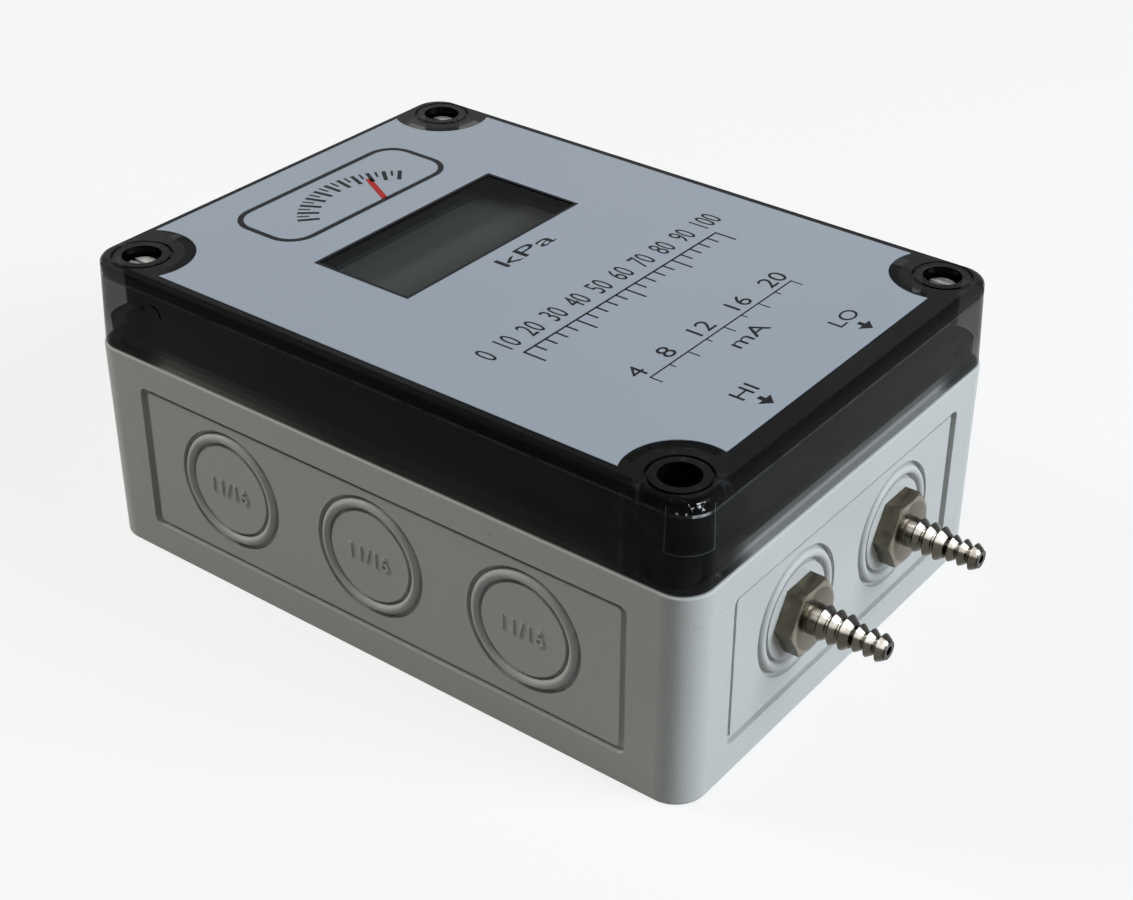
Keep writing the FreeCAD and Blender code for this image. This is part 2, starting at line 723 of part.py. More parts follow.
def make_lid():
    lid = new_body("lid")
    floor = seam + D["lid_gap"]
    sketch = new_sketch(lid, "XY", floor)
    rectangle(sketch, half_length - D["lid_step"], half_width - D["lid_step"])
    pad(lid, sketch, lid_top - floor, TaperAngle=-D["lid_draft"])
    dress(lid, "Fillet", D["lid_corner"], upright)
    dress(lid, "Fillet", D["lid_edge"], at_height(lid_top.value))

    # thin skirt round the tongue, then the upper hollow with a dome round each screw
    sketch = new_sketch(lid, "XY", floor)
    skirt = D["lid_step"] + D["skirt_wall"]
    rounded_rectangle(
        sketch, half_length - skirt, half_width - skirt, D["lid_corner"] - D["skirt_wall"]
    )
    pocket(lid, sketch, skirt_top - floor, Reversed=True)
    wall = D["lid_step"] + D["lid_height"] * tangent(D["lid_draft"]) + D["lid_wall"]
    sketch = new_sketch(lid, "XY", skirt_top)
    notched_rectangle(sketch, half_length - wall, half_width - wall, D["dome_radius"])
    pocket(lid, sketch, plate_under - skirt_top, Reversed=True)

    # screw wells, clearance holes and the ring groove round each well
    for radius, inner, depth in (
        (D["bore_radius"], None, D["bore_depth"]),
        (D["shank_radius"] + D["shank_gap"], None, D["lid_height"]),
        (D["ring_radius"], D["ring_radius"] - D["ring_width"], D["ring_depth"]),
    ):
        sketch = new_sketch(lid, "XY", lid_top)
        for sx, sy in CORNERS:
            circle(sketch, sx * screw_x, sy * screw_y, radius)
            if inner:
                circle(sketch, sx * screw_x, sy * screw_y, inner)
        pocket(lid, sketch, depth)

    # shallow ring left by the mould's gate, one on each long side
    lean = (D["lid_height"] - D["gate_drop"]) * tangent(D["lid_draft"])
    face = half_width - D["lid_step"] - lean
    for side in (-1, 1):
        sketch = new_sketch(lid, "XZ", side * face)
        for radius in (D["gate_radius"], D["gate_radius"] - D["gate_width"]):
            circle(sketch, -side * D["gate_place"], lid_top - D["gate_drop"], radius)
        pocket(lid, sketch, D["gate_depth"], Reversed=side < 0)


def make_gasket():
    gasket = new_body("lid_gasket")
    sketch = new_sketch(gasket, "XY", tongue_top)
    inset = D["gasket_inset"]
    outer_notch = D["notch_radius"] - D["tongue_corner"] + inset
    width = D["gasket_width"]
    notched_rectangle(sketch, tongue_x - inset, tongue_y - inset, outer_notch)
    notched_rectangle(sketch, tongue_x - inset - width, tongue_y - inset - width, outer_notch + width)
    pad(gasket, sketch, skirt_top - tongue_top)


def make_label():
    label = new_body("face_label")
    sketch = new_sketch(label, "XY", lid_top)
    half_x = half_length - D["label_margin_x"]
    half_y = half_width - D["label_margin_y"]
    notched_rectangle(sketch, half_x, half_y, D["label_notch"], D["label_shift"])
    rounded_rectangle(
        sketch,
        D["window_width"] / 2,
        D["window_length"] / 2,
        D["window_corner"],
        x=D["window_place"],
    )
    pad(label, sketch, D["label_thickness"])


def make_lid_screw(number, sx, sy):
    screw = new_body(f"lid_screw_{number}", (sx * screw_x, sy * screw_y, head_under))
    head = D["head_radius"]
    shank = D["shank_radius"]
    tall = D["head_height"]
    edge = tall * 0.12
    point = shank * 0.3
    sketch = new_sketch(screw, "XZ")
    polygon(
        sketch,
        [
            (0, -D["shank_length"]),
            (shank - point, -D["shank_length"]),
            (shank, point - D["shank_length"]),
            (shank, 0),
            (head, 0),
            (head, tall - edge),
            (head - edge, tall),
            (0, tall),
        ],
    )
    spin(screw, sketch, "Z_Axis")
    sketch = new_sketch(screw, "XY", tall)
    rectangle(sketch, head * 1.1, D["slot_width"] / 2)
    pocket(screw, sketch, D["slot_depth"])


def ring(name, place, outer, inner, length, turn=None):
    """A tube-shaped piece: one cylinder cut by another."""
    solid = simple("Cylinder", name + "_solid", place, turn, Radius=outer, Height=length)
    hollow = simple("Cylinder", name + "_hollow", place, turn, Radius=inner, Height=length)
    return cut(name, solid, hollow)


def cut(name, base, tool):
    result = doc.addObject("Part::Cut", name)
    result.Base = base
    result.Tool = tool
    return result


def fuse(name, items):
    result = doc.addObject("Part::MultiFuse", name)
    result.Shapes = items
    return result


make_lid()
make_gasket()
make_label()
for number, (sx, sy) in enumerate(CORNERS, start=1):
    make_lid_screw(number, sx, sy)
group(
    "thread_inserts",
    [
        ring(
            f"insert_{number}",
            (sx * screw_x, sy * screw_y, boss_top - D["insert_length"]),
            D["insert_radius"],
            D["shank_radius"] + D["insert_bore_gap"],
            D["insert_length"],
        )
        for number, (sx, sy) in enumerate(CORNERS, start=1)
    ],
)


# --- hose fittings, their washers, nuts and tubes -------------------------------------------------

ALONG_X = (Vector(0, 1, 0), 90)
wall_inside = cavity_x
thread_end = wall_inside - D["washer_thickness"] - D["nut_height"] - 0.5
inner_tip = thread_end - D["inner_barb_length"]
hex_front = port_seat + D["hex_height"]
neck_end = hex_front + D["neck_length"]
tube_start = thread_end - 1
nozzle_root = D["sensor_place"] + D["sensor_length"]
nozzle_y = D["nozzle_pitch"] / 2


def barbs(start, peak, count, land):
    """Saw-tooth outline of a hose end that points along +X."""
    outline = []
    for step in range(count):
        rise = start + D["barb_pitch"] * step
        outline.append((rise, peak))
        outline.append((rise + land, peak - D["barb_drop"] * 0.25))
        outline.append((rise + land + D["barb_drop"] * 0.3, peak - D["barb_drop"]))
        outline.append((rise + D["barb_pitch"], peak - D["barb_drop"]))
    return outline


def make_fitting(name, side):
    fitting = new_body(name, (0, side * port_y, port_z))
    hex_sketch = new_sketch(fitting, "YZ", port_seat)
    hexagon(hex_sketch, D["hex_flats"], turn=90)
    pad(fitting, hex_sketch, D["hex_height"])
    flat = D["hex_flats"] / 2
    sketch = new_sketch(fitting, "XY")
    polygon(
        sketch,
        [
            (hex_front, flat * 0.95),
            (hex_front + 1, flat * 0.95),
            (hex_front + 1, flat * 1.4),
            (hex_front - D["hex_chamfer"], flat * 1.4),
        ],
    )
    spin(fitting, sketch, "X_Axis", "Groove")

    large = D["large_barb_radius"]
    small = D["small_barb_radius"]
    step_down = neck_end + 3 * D["barb_pitch"]
    tip = step_down + 3 * D["barb_pitch"]
    inner = D["inner_barb_radius"]
    sketch = new_sketch(fitting, "XY")
    outline = [(neck_end, D["neck_radius"])]
    outline += barbs(neck_end, large, 3, D["barb_land"])
    outline += [(step_down, small - D["barb_drop"])]
    outline += barbs(step_down + D["barb_pitch"] * 0.15, small, 2, D["barb_land"] * 0.9)
    last = step_down + D["barb_pitch"] * 2.15
    outline += [(last, small), (last + 0.7, small - 0.15), (tip, small - D["barb_drop"])]
    section = [(hex_front - 0.1, D["neck_radius"])] + outline
    section += [(tip, D["port_bore_radius"]), (inner_tip, D["port_bore_radius"])]
    section += [
        (inner_tip, inner - 0.35),
        (inner_tip + 1.6, inner),
        (inner_tip + 1.6, inner - 0.3),
        (inner_tip + 3.2, inner),
        (inner_tip + 3.2, inner - 0.3),
        (thread_end, inner - 0.3),
        (thread_end, D["port_thread_radius"] - 0.5),
        (thread_end + 0.5, D["port_thread_radius"]),
        (port_seat + 0.1, D["port_thread_radius"]),
        (port_seat + 0.1, D["neck_radius"]),
    ]
    polygon(sketch, section)
    spin(fitting, sketch, "X_Axis")
    sketch = new_sketch(fitting, "YZ", tip)
    circle(sketch, 0, 0, D["port_bore_radius"])
    pocket(fitting, sketch, tip - inner_tip)


def make_tube(name, turn):
    """A soft tube from a fitting to the sensor: two equal bends in one level plane."""
    tube = new_body(name, (0, 0, port_z), turn)
    bend = D["tube_bend"]
    shift = port_y.value - nozzle_y.value
    angle = math.acos(1 - shift / 2 / bend.value)
    first_x = inner_tip - 5
    second_x = first_x.value - 2 * bend.value * math.sin(angle)
    middle = (first_x.value - bend.value * math.sin(angle), port_y.value - shift / 2)
    tube_end = nozzle_root + 1.5
    path = new_sketch(tube, "XY")
    path.addGeometry(
        Part.LineSegment(
            Vector(tube_start.value, port_y.value, 0), Vector(first_x.value, port_y.value, 0)
        )
    )
    quarter = math.pi / 2
    circle_one = Part.Circle(
        Vector(first_x.value, port_y.value - bend.value, 0), Vector(0, 0, 1), bend.value
    )
    circle_two = Part.Circle(
        Vector(second_x, nozzle_y.value + bend.value, 0), Vector(0, 0, 1), bend.value
    )
    path.addGeometry(Part.ArcOfCircle(circle_one, quarter, quarter + angle))
    path.addGeometry(Part.ArcOfCircle(circle_two, 3 * quarter, 3 * quarter + angle))
    path.addGeometry(
        Part.LineSegment(
            Vector(second_x, nozzle_y.value, 0), Vector(tube_end.value, nozzle_y.value, 0)
        )
    )
    pin(path, 0, 1, tube_start, port_y)
    path.addConstraint(Sketcher.Constraint("Horizontal", 0))
    index = path.addConstraint(Sketcher.Constraint("DistanceX", -1, 1, 0, 2, first_x.value))
    path.setExpression(f"Constraints[{index}]", first_x.text)
    path.addConstraint(Sketcher.Constraint("Tangent", 0, 2, 1, 1))
    drive(path, "Radius", 1, bend)
    path.addConstraint(Sketcher.Constraint("Tangent", 1, 2, 2, 2))
    drive(path, "Radius", 2, bend)
    path.addConstraint(Sketcher.Constraint("Tangent", 2, 1, 3, 1))
    path.addConstraint(Sketcher.Constraint("Horizontal", 3))
    pin(path, 3, 2, tube_end, nozzle_y)
    bore = D["inner_barb_radius"] + D["tube_gap"]
    section = new_sketch(tube, "YZ", tube_start)
    circle(section, port_y, 0, bore + D["tube_wall"])
    circle(section, port_y, 0, bore)
    pipe = tube.newObject("PartDesign::AdditivePipe", f"{name}_pipe")
    pipe.Profile = section
    pipe.Spine = path
    for item in (section, path):
        item.Visibility = False
    doc.recompute()


def back_nut(name, side):
    place = (wall_inside - D["washer_thickness"] - D["nut_height"], side * port_y, port_z)
    solid = simple(
        "Prism",
        name + "_solid",
        place,
        ALONG_X,
        Circumradius=D["nut_flats"] * (1 / math.sqrt(3)),
        Height=D["nut_height"],
    )
    hollow = simple(
        "Cylinder",
        name + "_hollow",
        place,
        ALONG_X,
        Radius=D["port_thread_radius"] + D["tube_gap"],
        Height=D["nut_height"],
    )
    return cut(name, solid, hollow)


for name, side in (("high", -1), ("low", 1)):
    make_fitting(f"port_{name}", side)
make_tube("tube_high", (Vector(1, 0, 0), 180))
make_tube("tube_low", None)
group(
    "port_washers",
    [
        ring(
            f"washer_{side + 2}",
            (wall_inside - D["washer_thickness"], side * port_y, port_z),
            D["washer_radius"],
            D["port_thread_radius"] + D["port_hole_gap"],
            D["washer_thickness"],
            ALONG_X,
        )
        for side in (-1, 1)
    ],
)
group("port_nuts", [back_nut(f"back_nut_{side + 2}", side) for side in (-1, 1)])


# --- circuit board and what it carries ------------------------------------------------------------

def spacer_place(sx, sy):
    return (
        D["window_place"] + sx * (D["display_board_width"] / 2 - D["spacer_inset"]),
        sy * (D["display_board_length"] / 2 - D["spacer_inset"]),
    )


def make_main_board():
    board = new_body("main_board")
    sketch = new_sketch(board, "XY", board_under)
    rounded_rectangle(
        sketch, D["board_length"] / 2, D["board_width"] / 2, D["board_corner"], x=board_middle
    )
    for sx, sy in CORNERS:
        circle(sketch, *board_hole(sx, sy), D["pan_screw_radius"] + D["screw_clearance"])
        circle(sketch, *spacer_place(sx, sy), D["spacer_stud_radius"] + D["screw_clearance"])
    pad(board, sketch, D["board_thickness"])


def pan_screw(name, place):
    """Small pan-head screw: domed head, plain shank; the place is under the head."""
    screw = doc.addObject("PartDesign::Body", name)
    bind_place(screw, place)
    head = D["pan_head_radius"]
    tall = D["pan_head_height"]
    shank = D["pan_screw_radius"]
    sketch = new_sketch(screw, "XZ")
    polygon(
        sketch,
        [
            (0, -D["pan_screw_length"]),
            (shank, -D["pan_screw_length"]),
            (shank, 0),
            (head, 0),
            (head, tall * 0.5),
            (head * 0.6, tall),
            (0, tall),
        ],
    )
    spin(screw, sketch, "Z_Axis")
    sketch = new_sketch(screw, "XY", tall)
    arm = head * 0.55
    slim = head * 0.13
    cross = [(arm, slim), (slim, slim), (slim, arm), (-slim, arm), (-slim, slim), (-arm, slim)]
    polygon(sketch, cross + [(-x, -y) for x, y in cross])
    pocket(screw, sketch, tall * 0.6)
    return screw


def make_sensor():
    sensor = new_body("pressure_sensor", (D["sensor_place"], 0, board_top))
    sketch = new_sketch(sensor, "XY")
    rounded_rectangle(
        sketch, D["sensor_length"] / 2, D["sensor_width"] / 2, 1.0, x=D["sensor_length"] / 2
    )
    pad(sensor, sketch, D["sensor_height"])
    dress(sensor, "Fillet", measure(0.6), at_height(D["sensor_height"].value))
    level = port_z - board_top
    peak = D["inner_barb_radius"]
    for side in (-1, 1):
        sketch = new_sketch(sensor, "XY", level)
        root_x = D["sensor_length"] - 0.5
        tip_x = D["sensor_length"] + D["nozzle_length"]
        line = side * nozzle_y
        polygon(
            sketch,
            [
                (root_x, line),
                (root_x, line + peak * 0.8),
                (tip_x - 2, line + peak * 0.8),
                (tip_x - 2, line + peak),
                (tip_x, line + peak * 0.75),
                (tip_x, line),
            ],
        )
        feature = sensor.newObject("PartDesign::Revolution", f"nozzle_{side + 2}")
        feature.Profile = sketch
        feature.ReferenceAxis = (sketch, ["Edge6"])
        feature.Angle = 360
        sketch.Visibility = False
        doc.recompute()
    sketch = new_sketch(sensor, "YZ", D["sensor_length"] + D["nozzle_length"])
    for side in (-1, 1):
        circle(sketch, side * nozzle_y, level, 0.6)
    pocket(sensor, sketch, D["nozzle_length"])


def make_terminals():
    pitch = D["terminal_pitch"]
    block = new_body("terminal_block", (D["terminal_start"], D["terminal_edge"], board_top))
    sketch = new_sketch(block, "YZ")
    deep = D["terminal_depth"]
    tall = D["terminal_height"]
    polygon(
        sketch,
        [(0, 0), (deep, 0), (deep, tall), (deep * 0.3, tall), (0, tall * 0.62)],
    )
    pad(block, sketch, pitch * 4)
    sketch = new_sketch(block, "XY", tall)
    for step in range(4):
        circle(sketch, pitch * (step + 0.5), deep * 0.62, D["terminal_screw_radius"] + 0.08)
    pocket(block, sketch, tall * 0.55)
    sketch = new_sketch(block, "XZ")
    for step in range(4):
        rectangle(sketch, pitch * 0.34, tall * 0.16, pitch * (step + 0.5), tall * 0.3)
    pocket(block, sketch, deep * 0.8)
    for step in range(4):
        place = (
            D["terminal_start"] + pitch * (step + 0.5),
            D["terminal_edge"] + deep * 0.62,
            board_top + tall * 0.5,
        )
        screw = new_body(f"terminal_screw_{step + 1}", place)
        sketch = new_sketch(screw, "XY")
        circle(sketch, 0, 0, D["terminal_screw_radius"])
        pad(screw, sketch, tall * 0.42)
        sketch = new_sketch(screw, "XY", tall * 0.42)
        rectangle(sketch, D["terminal_screw_radius"] * 1.1, measure(0.35))
        pocket(screw, sketch, measure(0.8))


def make_trimmer(name, start):
    side = D["trimmer_side"]
    tall = D["trimmer_height"]
    trimmer = new_body(f"{name}_trimmer", (start, D["trimmer_edge"], board_top))
    sketch = new_sketch(trimmer, "XY")
    rounded_rectangle(sketch, side / 2, side / 2, 0.5, x=side / 2, y=side / 2)
    pad(trimmer, sketch, tall)
    sketch = new_sketch(trimmer, "XY", tall)
    circle(sketch, side / 2, side / 2, D["rotor_radius"] + D["rotor_gap"])
    pocket(trimmer, sketch, D["rotor_depth"])
    place = (start + side / 2, D["trimmer_edge"] + side / 2, board_top + tall - D["rotor_depth"])
    rotor = new_body(f"{name}_rotor", place)
    rise = D["rotor_depth"] + D["rotor_rise"]
    sketch = new_sketch(rotor, "XY")
    circle(sketch, 0, 0, D["rotor_radius"])
    pad(rotor, sketch, rise)
    sketch = new_sketch(rotor, "XY", rise)
    polygon(
        sketch,
        [
            (-D["rotor_radius"] * 0.75, -0.3),
            (D["rotor_radius"] * 0.5, -0.3),
            (D["rotor_radius"] * 0.8, 0),
            (D["rotor_radius"] * 0.5, 0.3),
            (-D["rotor_radius"] * 0.75, 0.3),
        ],
    )
    pocket(rotor, sketch, measure(0.9))


make_main_board()
group(
    "board_screws",
    [
        pan_screw(f"board_screw_{number}", (*board_hole(sx, sy), board_top))
        for number, (sx, sy) in enumerate(CORNERS, start=1)
    ],
)
make_sensor()
make_terminals()
make_trimmer("zero", D["trimmer_start"])
make_trimmer("span", D["trimmer_start"] + D["trimmer_pitch"])


# --- display and what holds it --------------------------------------------------------------------

def make_display():
    board = new_body("display_board", (D["window_place"], 0, display_board_under))
    sketch = new_sketch(board, "XY")
    rounded_rectangle(
        sketch, D["display_board_width"] / 2, D["display_board_length"] / 2, D["board_corner"]
    )
    for sx, sy in CORNERS:
        x, y = spacer_place(sx, sy)
        circle(sketch, x - D["window_place"], y, D["pan_screw_radius"] + D["screw_clearance"])
    pad(board, sketch, D["board_thickness"])

    # the frame keeps clear of the four screw heads, so it is narrower than the board
    frame = new_body("display_frame", (D["window_place"], 0, display_board_top))
    half_x = D["frame_width"] / 2
    half_y = D["frame_length"] / 2
    wall = D["frame_wall"]
    rim = D["frame_rim"]
    sketch = new_sketch(frame, "XY")
    rectangle(sketch, half_x, half_y)
    pad(frame, sketch, D["frame_height"])
    dress(frame, "Fillet", measure(1), upright)
    dress(frame, "Fillet", measure(0.5), at_height(D["frame_height"].value))
    sketch = new_sketch(frame, "XY")
    rectangle(sketch, half_x - wall, half_y - wall)
    pocket(frame, sketch, D["frame_height"] - 1, Reversed=True)
    sketch = new_sketch(frame, "XY", D["frame_height"])
    rectangle(sketch, half_x - wall - rim, half_y - wall - rim)
    pocket(frame, sketch, measure(1))

    place = (D["window_place"], 0, frame_top - 1 - D["glass_thickness"])
    glass = new_body("display_glass", place)
    sketch = new_sketch(glass, "XY")
    rectangle(sketch, half_x - wall - 0.1, half_y - wall - 0.1)
    pad(glass, sketch, D["glass_thickness"])


def make_spacer(name, sx, sy):
    x, y = spacer_place(sx, sy)
    size = D["spacer_flats"] * (1 / math.sqrt(3))
    length = display_board_under - board_top
    body = simple("Prism", name + "_body", (x, y, board_top), Circumradius=size, Height=length)
    stud = simple(
        "Cylinder",
        name + "_stud",
        (x, y, board_top - D["spacer_stud_length"]),
        Radius=D["spacer_stud_radius"],
        Height=D["spacer_stud_length"] + 1,
    )
    hole = simple(
        "Cylinder",
        name + "_hole",
        (x, y, display_board_under - D["pan_screw_length"]),
        Radius=D["pan_screw_radius"] + D["screw_clearance"],
        Height=D["pan_screw_length"],
    )
    return cut(name, fuse(name + "_whole", [body, stud]), hole)


def stud_nut(name, sx, sy):
    x, y = spacer_place(sx, sy)
    height = measure(2)
    size = D["spacer_flats"] * (1 / math.sqrt(3))
    place = (x, y, board_under - height)
    solid = simple("Prism", name + "_solid", place, Circumradius=size, Height=height)
    hollow = simple(
        "Cylinder",
        name + "_hollow",
        place,
        Radius=D["spacer_stud_radius"] + D["tube_gap"],
        Height=height,
    )
    return cut(name, solid, hollow)


def make_connector(name, place, upward):
    """Open-topped box connector that the ribbon's end drops into."""
    connector = new_body(name, place, None if upward else (Vector(1, 0, 0), 180))
    half_x = D["connector_width"] / 2
    half_y = D["ribbon_width"] / 2 + 1.5
    sketch = new_sketch(connector, "XY")
    rectangle(sketch, half_x, half_y)
    pad(connector, sketch, D["connector_height"])
    sketch = new_sketch(connector, "XY", D["connector_height"])
    rectangle(sketch, D["ribbon_thickness"] / 2 + 0.05, D["ribbon_width"] / 2 + 0.1)
    pocket(connector, sketch, D["connector_height"] * 0.7)


make_display()
group("display_spacers", [make_spacer(f"spacer_{n}", *corner) for n, corner in enumerate(CORNERS)])
group("spacer_nuts", [stud_nut(f"stud_nut_{n}", *corner) for n, corner in enumerate(CORNERS)])
group(
    "display_screws",
    [
        pan_screw(f"display_screw_{number}", (*spacer_place(sx, sy), display_board_top))
        for number, (sx, sy) in enumerate(CORNERS, start=1)
    ],
)
make_connector("board_connector", (D["ribbon_place"], 0, board_top), True)
make_connector("display_connector", (D["ribbon_place"], 0, display_board_under), False)

seat = D["connector_height"] * 0.3
ribbon = new_body("display_ribbon", (D["ribbon_place"], 0, board_top + seat))
sketch = new_sketch(ribbon, "XY")
rectangle(sketch, D["ribbon_thickness"] / 2, D["ribbon_width"] / 2)
pad(ribbon, sketch, display_board_under - board_top - 2 * seat)


# --- check and export -----------------------------------------------------------------------------

doc.recompute()
for item in doc.Objects:
    if "Invalid" in item.State or "Error" in item.State:
        raise RuntimeError(f"{item.Name} did not recompute: {item.State}")
os.makedirs("parts", exist_ok=True)
for name, item in pieces.items():
    shape = item.Shape
    if shape.isNull() or not shape.isValid() or shape.Volume <= 0:
        raise RuntimeError(f"{name} has no sound shape")
    shape.exportStep(f"parts/{name}.step")
print(f"{len(pieces)} pieces written")
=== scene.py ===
import math
import random

import bmesh
import bpy
from mathutils import Matrix, Vector


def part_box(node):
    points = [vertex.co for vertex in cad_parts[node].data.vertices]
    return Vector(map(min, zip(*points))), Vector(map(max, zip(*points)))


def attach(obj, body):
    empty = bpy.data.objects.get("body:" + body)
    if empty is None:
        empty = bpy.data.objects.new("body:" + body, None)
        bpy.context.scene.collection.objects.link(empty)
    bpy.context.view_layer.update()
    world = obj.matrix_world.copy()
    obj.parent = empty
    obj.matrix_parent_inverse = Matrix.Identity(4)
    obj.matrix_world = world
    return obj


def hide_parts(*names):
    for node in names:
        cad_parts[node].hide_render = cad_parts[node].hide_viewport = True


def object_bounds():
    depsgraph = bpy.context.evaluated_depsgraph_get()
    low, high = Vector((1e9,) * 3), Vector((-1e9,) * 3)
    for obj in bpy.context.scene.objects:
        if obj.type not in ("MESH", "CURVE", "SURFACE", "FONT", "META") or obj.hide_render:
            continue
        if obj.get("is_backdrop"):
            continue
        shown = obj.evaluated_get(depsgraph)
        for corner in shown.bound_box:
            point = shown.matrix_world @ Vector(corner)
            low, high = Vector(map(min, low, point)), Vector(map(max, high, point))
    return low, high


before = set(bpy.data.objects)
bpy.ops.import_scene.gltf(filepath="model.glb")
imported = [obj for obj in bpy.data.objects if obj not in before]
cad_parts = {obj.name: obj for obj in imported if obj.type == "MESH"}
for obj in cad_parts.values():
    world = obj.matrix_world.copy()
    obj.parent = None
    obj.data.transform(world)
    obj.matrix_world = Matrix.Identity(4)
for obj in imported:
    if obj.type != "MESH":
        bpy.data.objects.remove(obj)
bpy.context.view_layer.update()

MM = 0.001

# --- Table, light and camera ----------------------------------------------------------------------
# The transmitter lies on a plain pale table under soft studio lamps. The large lamp stands off the
# hose end, so that end is bright and the long side falls into soft shade.

scene = bpy.context.scene
scene.view_settings.view_transform = "Standard"


class Signal:
    """A shader socket that can be used in sums: every operator adds one Math node."""

    def __init__(self, finish, socket):
        self.finish = finish
        self.socket = socket

    def _math(self, operation, first, second):
        return self.finish.calculate(operation, first, second)

    def __add__(self, other):
        return self._math("ADD", self, other)

    def __radd__(self, other):
        return self._math("ADD", other, self)

    def __sub__(self, other):
        return self._math("SUBTRACT", self, other)

    def __rsub__(self, other):
        return self._math("SUBTRACT", other, self)

    def __mul__(self, other):
        return self._math("MULTIPLY", self, other)

    def __truediv__(self, other):
        return self._math("DIVIDE", self, other)

    def __gt__(self, other):
        return self._math("GREATER_THAN", self, other)

    def __lt__(self, other):
        return self._math("LESS_THAN", self, other)


class Finish:
    """A material under construction, or any other node tree such as the world's."""

    def __init__(self, name, tree=None):
        if tree is None:
            self.material = bpy.data.materials.new(name)
            self.material.use_nodes = True
            tree = self.material.node_tree
            tree.nodes.clear()
        self.tree = tree

    def node(self, kind, inputs=(), output=0, stops=None, **settings):
        """Add a node: settings first, then its sockets by position or by name."""
        node = self.tree.nodes.new(kind)
        for name, value in settings.items():
            setattr(node, name, value)
        if stops:
            ramp = node.color_ramp
            while len(ramp.elements) < len(stops):
                ramp.elements.new(0.5)
            for element, (place, colour) in zip(ramp.elements, stops):
                element.position = place
                element.color = colour if len(colour) == 4 else (*colour, 1)
        pairs = inputs.items() if isinstance(inputs, dict) else enumerate(inputs)
        for key, value in pairs:
            socket = node.inputs[key]
            if isinstance(value, Signal):
                self.tree.links.new(value.socket, socket)
            elif value is not None:
                if hasattr(socket.default_value, "__len__") and len(value) == 3:
                    value = (*value, 1)[: len(socket.default_value)]
                socket.default_value = value
        return Signal(self, node.outputs[output]) if len(node.outputs) else None

    def calculate(self, operation, *values):
        """A Math node on numbers and signals."""
        return self.node("ShaderNodeMath", values, operation=operation)

    def place(self):
        """Where a point lies on the object, in metres."""
        return self.node("ShaderNodeTexCoord", output="Object")

    def axes(self):
        """The three coordinates of that point, each as a signal."""
        parts = self.tree.nodes.new("ShaderNodeSeparateXYZ")
        self.tree.links.new(self.place().socket, parts.inputs[0])
        return [Signal(self, output) for output in parts.outputs]

    def grain(self, scale, detail=2.0, roughness=0.5, at=None, distortion=0.0):
        """Soft noise from 0 to 1; scale is in features a metre."""
        return self.node(
            "ShaderNodeTexNoise",
            {
                "Vector": at or self.place(),
                "Scale": scale,
                "Detail": detail,
                "Roughness": roughness,
                "Distortion": distortion,
            },
        )

    def ramp(self, value, *stops):
        """Turn a value into a colour that runs through the stops."""
        return self.node("ShaderNodeValToRGB", (value,), stops=stops)

    def spread(self, value, low, high, to_low=0.0, to_high=1.0):
        """Stretch a value from one range to another, and clamp it."""
        names = ("Value", "From Min", "From Max", "To Min", "To Max")
        values = (value, low, high, to_low, to_high)
        return self.node("ShaderNodeMapRange", dict(zip(names, values)))

    def mix(self, factor, first, second):
        """Blend two colours."""
        node = self.tree.nodes.new("ShaderNodeMix")
        node.data_type = "RGBA"
        sockets = (node.inputs[0], node.inputs[6], node.inputs[7])
        for socket, value in zip(sockets, (factor, first, second)):
            if isinstance(value, Signal):
                self.tree.links.new(value.socket, socket)
            elif hasattr(value, "__len__"):
                socket.default_value = (*value, 1)[:4]
            else:
                socket.default_value = value
        return Signal(self, node.outputs[2])

    def bump(self, height, distance, strength=1.0, normal=None):
        """Raise a surface by a height signal; distance is in metres."""
        return self.node(
            "ShaderNodeBump",
            {"Height": height, "Distance": distance, "Strength": strength, "Normal": normal},
        )

    def surface(self, **sockets):
        """The Principled surface; underscores in the names stand for spaces."""
        inputs = {name.replace("_", " "): value for name, value in sockets.items()}
        shader = self.node("ShaderNodeBsdfPrincipled", inputs)
        self.finish(shader)
        return self.material

    def finish(self, shader):
        """Join a shader to the output."""
        kind = "World" if self.tree == scene.world.node_tree else "Material"
        self.node("ShaderNodeOutput" + kind, {"Surface": shader})


def coat(node, material):
    """Give a CAD node or a new piece its finish."""
    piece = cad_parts[node] if isinstance(node, str) else node
    piece.data.materials.clear()
    piece.data.materials.append(material)


def backdrop(finish):
    """1 for rays that see the backdrop: from the camera, in a reflection or through the lid."""
    seen = finish.node("ShaderNodeLightPath", output="Is Camera Ray")
    for kind in ("Is Glossy Ray", "Is Transmission Ray"):
        other = finish.node("ShaderNodeLightPath", output=kind)
        seen = finish.calculate("MAXIMUM", seen, other)
    return seen


scene.world = bpy.data.worlds.new("studio")
scene.world.use_nodes = True
scene.world.node_tree.nodes.clear()
room = Finish("studio", scene.world.node_tree)
fill = room.node("ShaderNodeBackground", {"Color": (1.0, 1.0, 0.93), "Strength": 0.03})
white = room.node("ShaderNodeBackground", {"Color": (1, 1, 1), "Strength": 1.0})
room.finish(room.node("ShaderNodeMixShader", (backdrop(room), fill, white)))

bpy.ops.mesh.primitive_grid_add(x_subdivisions=4, y_subdivisions=4, size=8)
table = bpy.context.object
table.name = "table"
table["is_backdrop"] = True
cloth = Finish("pale_table")
matt = cloth.node("ShaderNodeBsdfDiffuse", {"Color": (0.26, 0.26, 0.25)})
lit = cloth.node("ShaderNodeEmission", {"Color": (1, 1, 1), "Strength": 1.0})
pale = cloth.node("ShaderNodeBsdfDiffuse", {"Color": (0.9, 0.9, 0.9)})
shown = cloth.node("ShaderNodeMixShader", (0.8, pale, lit))
cloth.finish(cloth.node("ShaderNodeMixShader", (backdrop(cloth), matt, shown)))
coat(table, cloth.material)


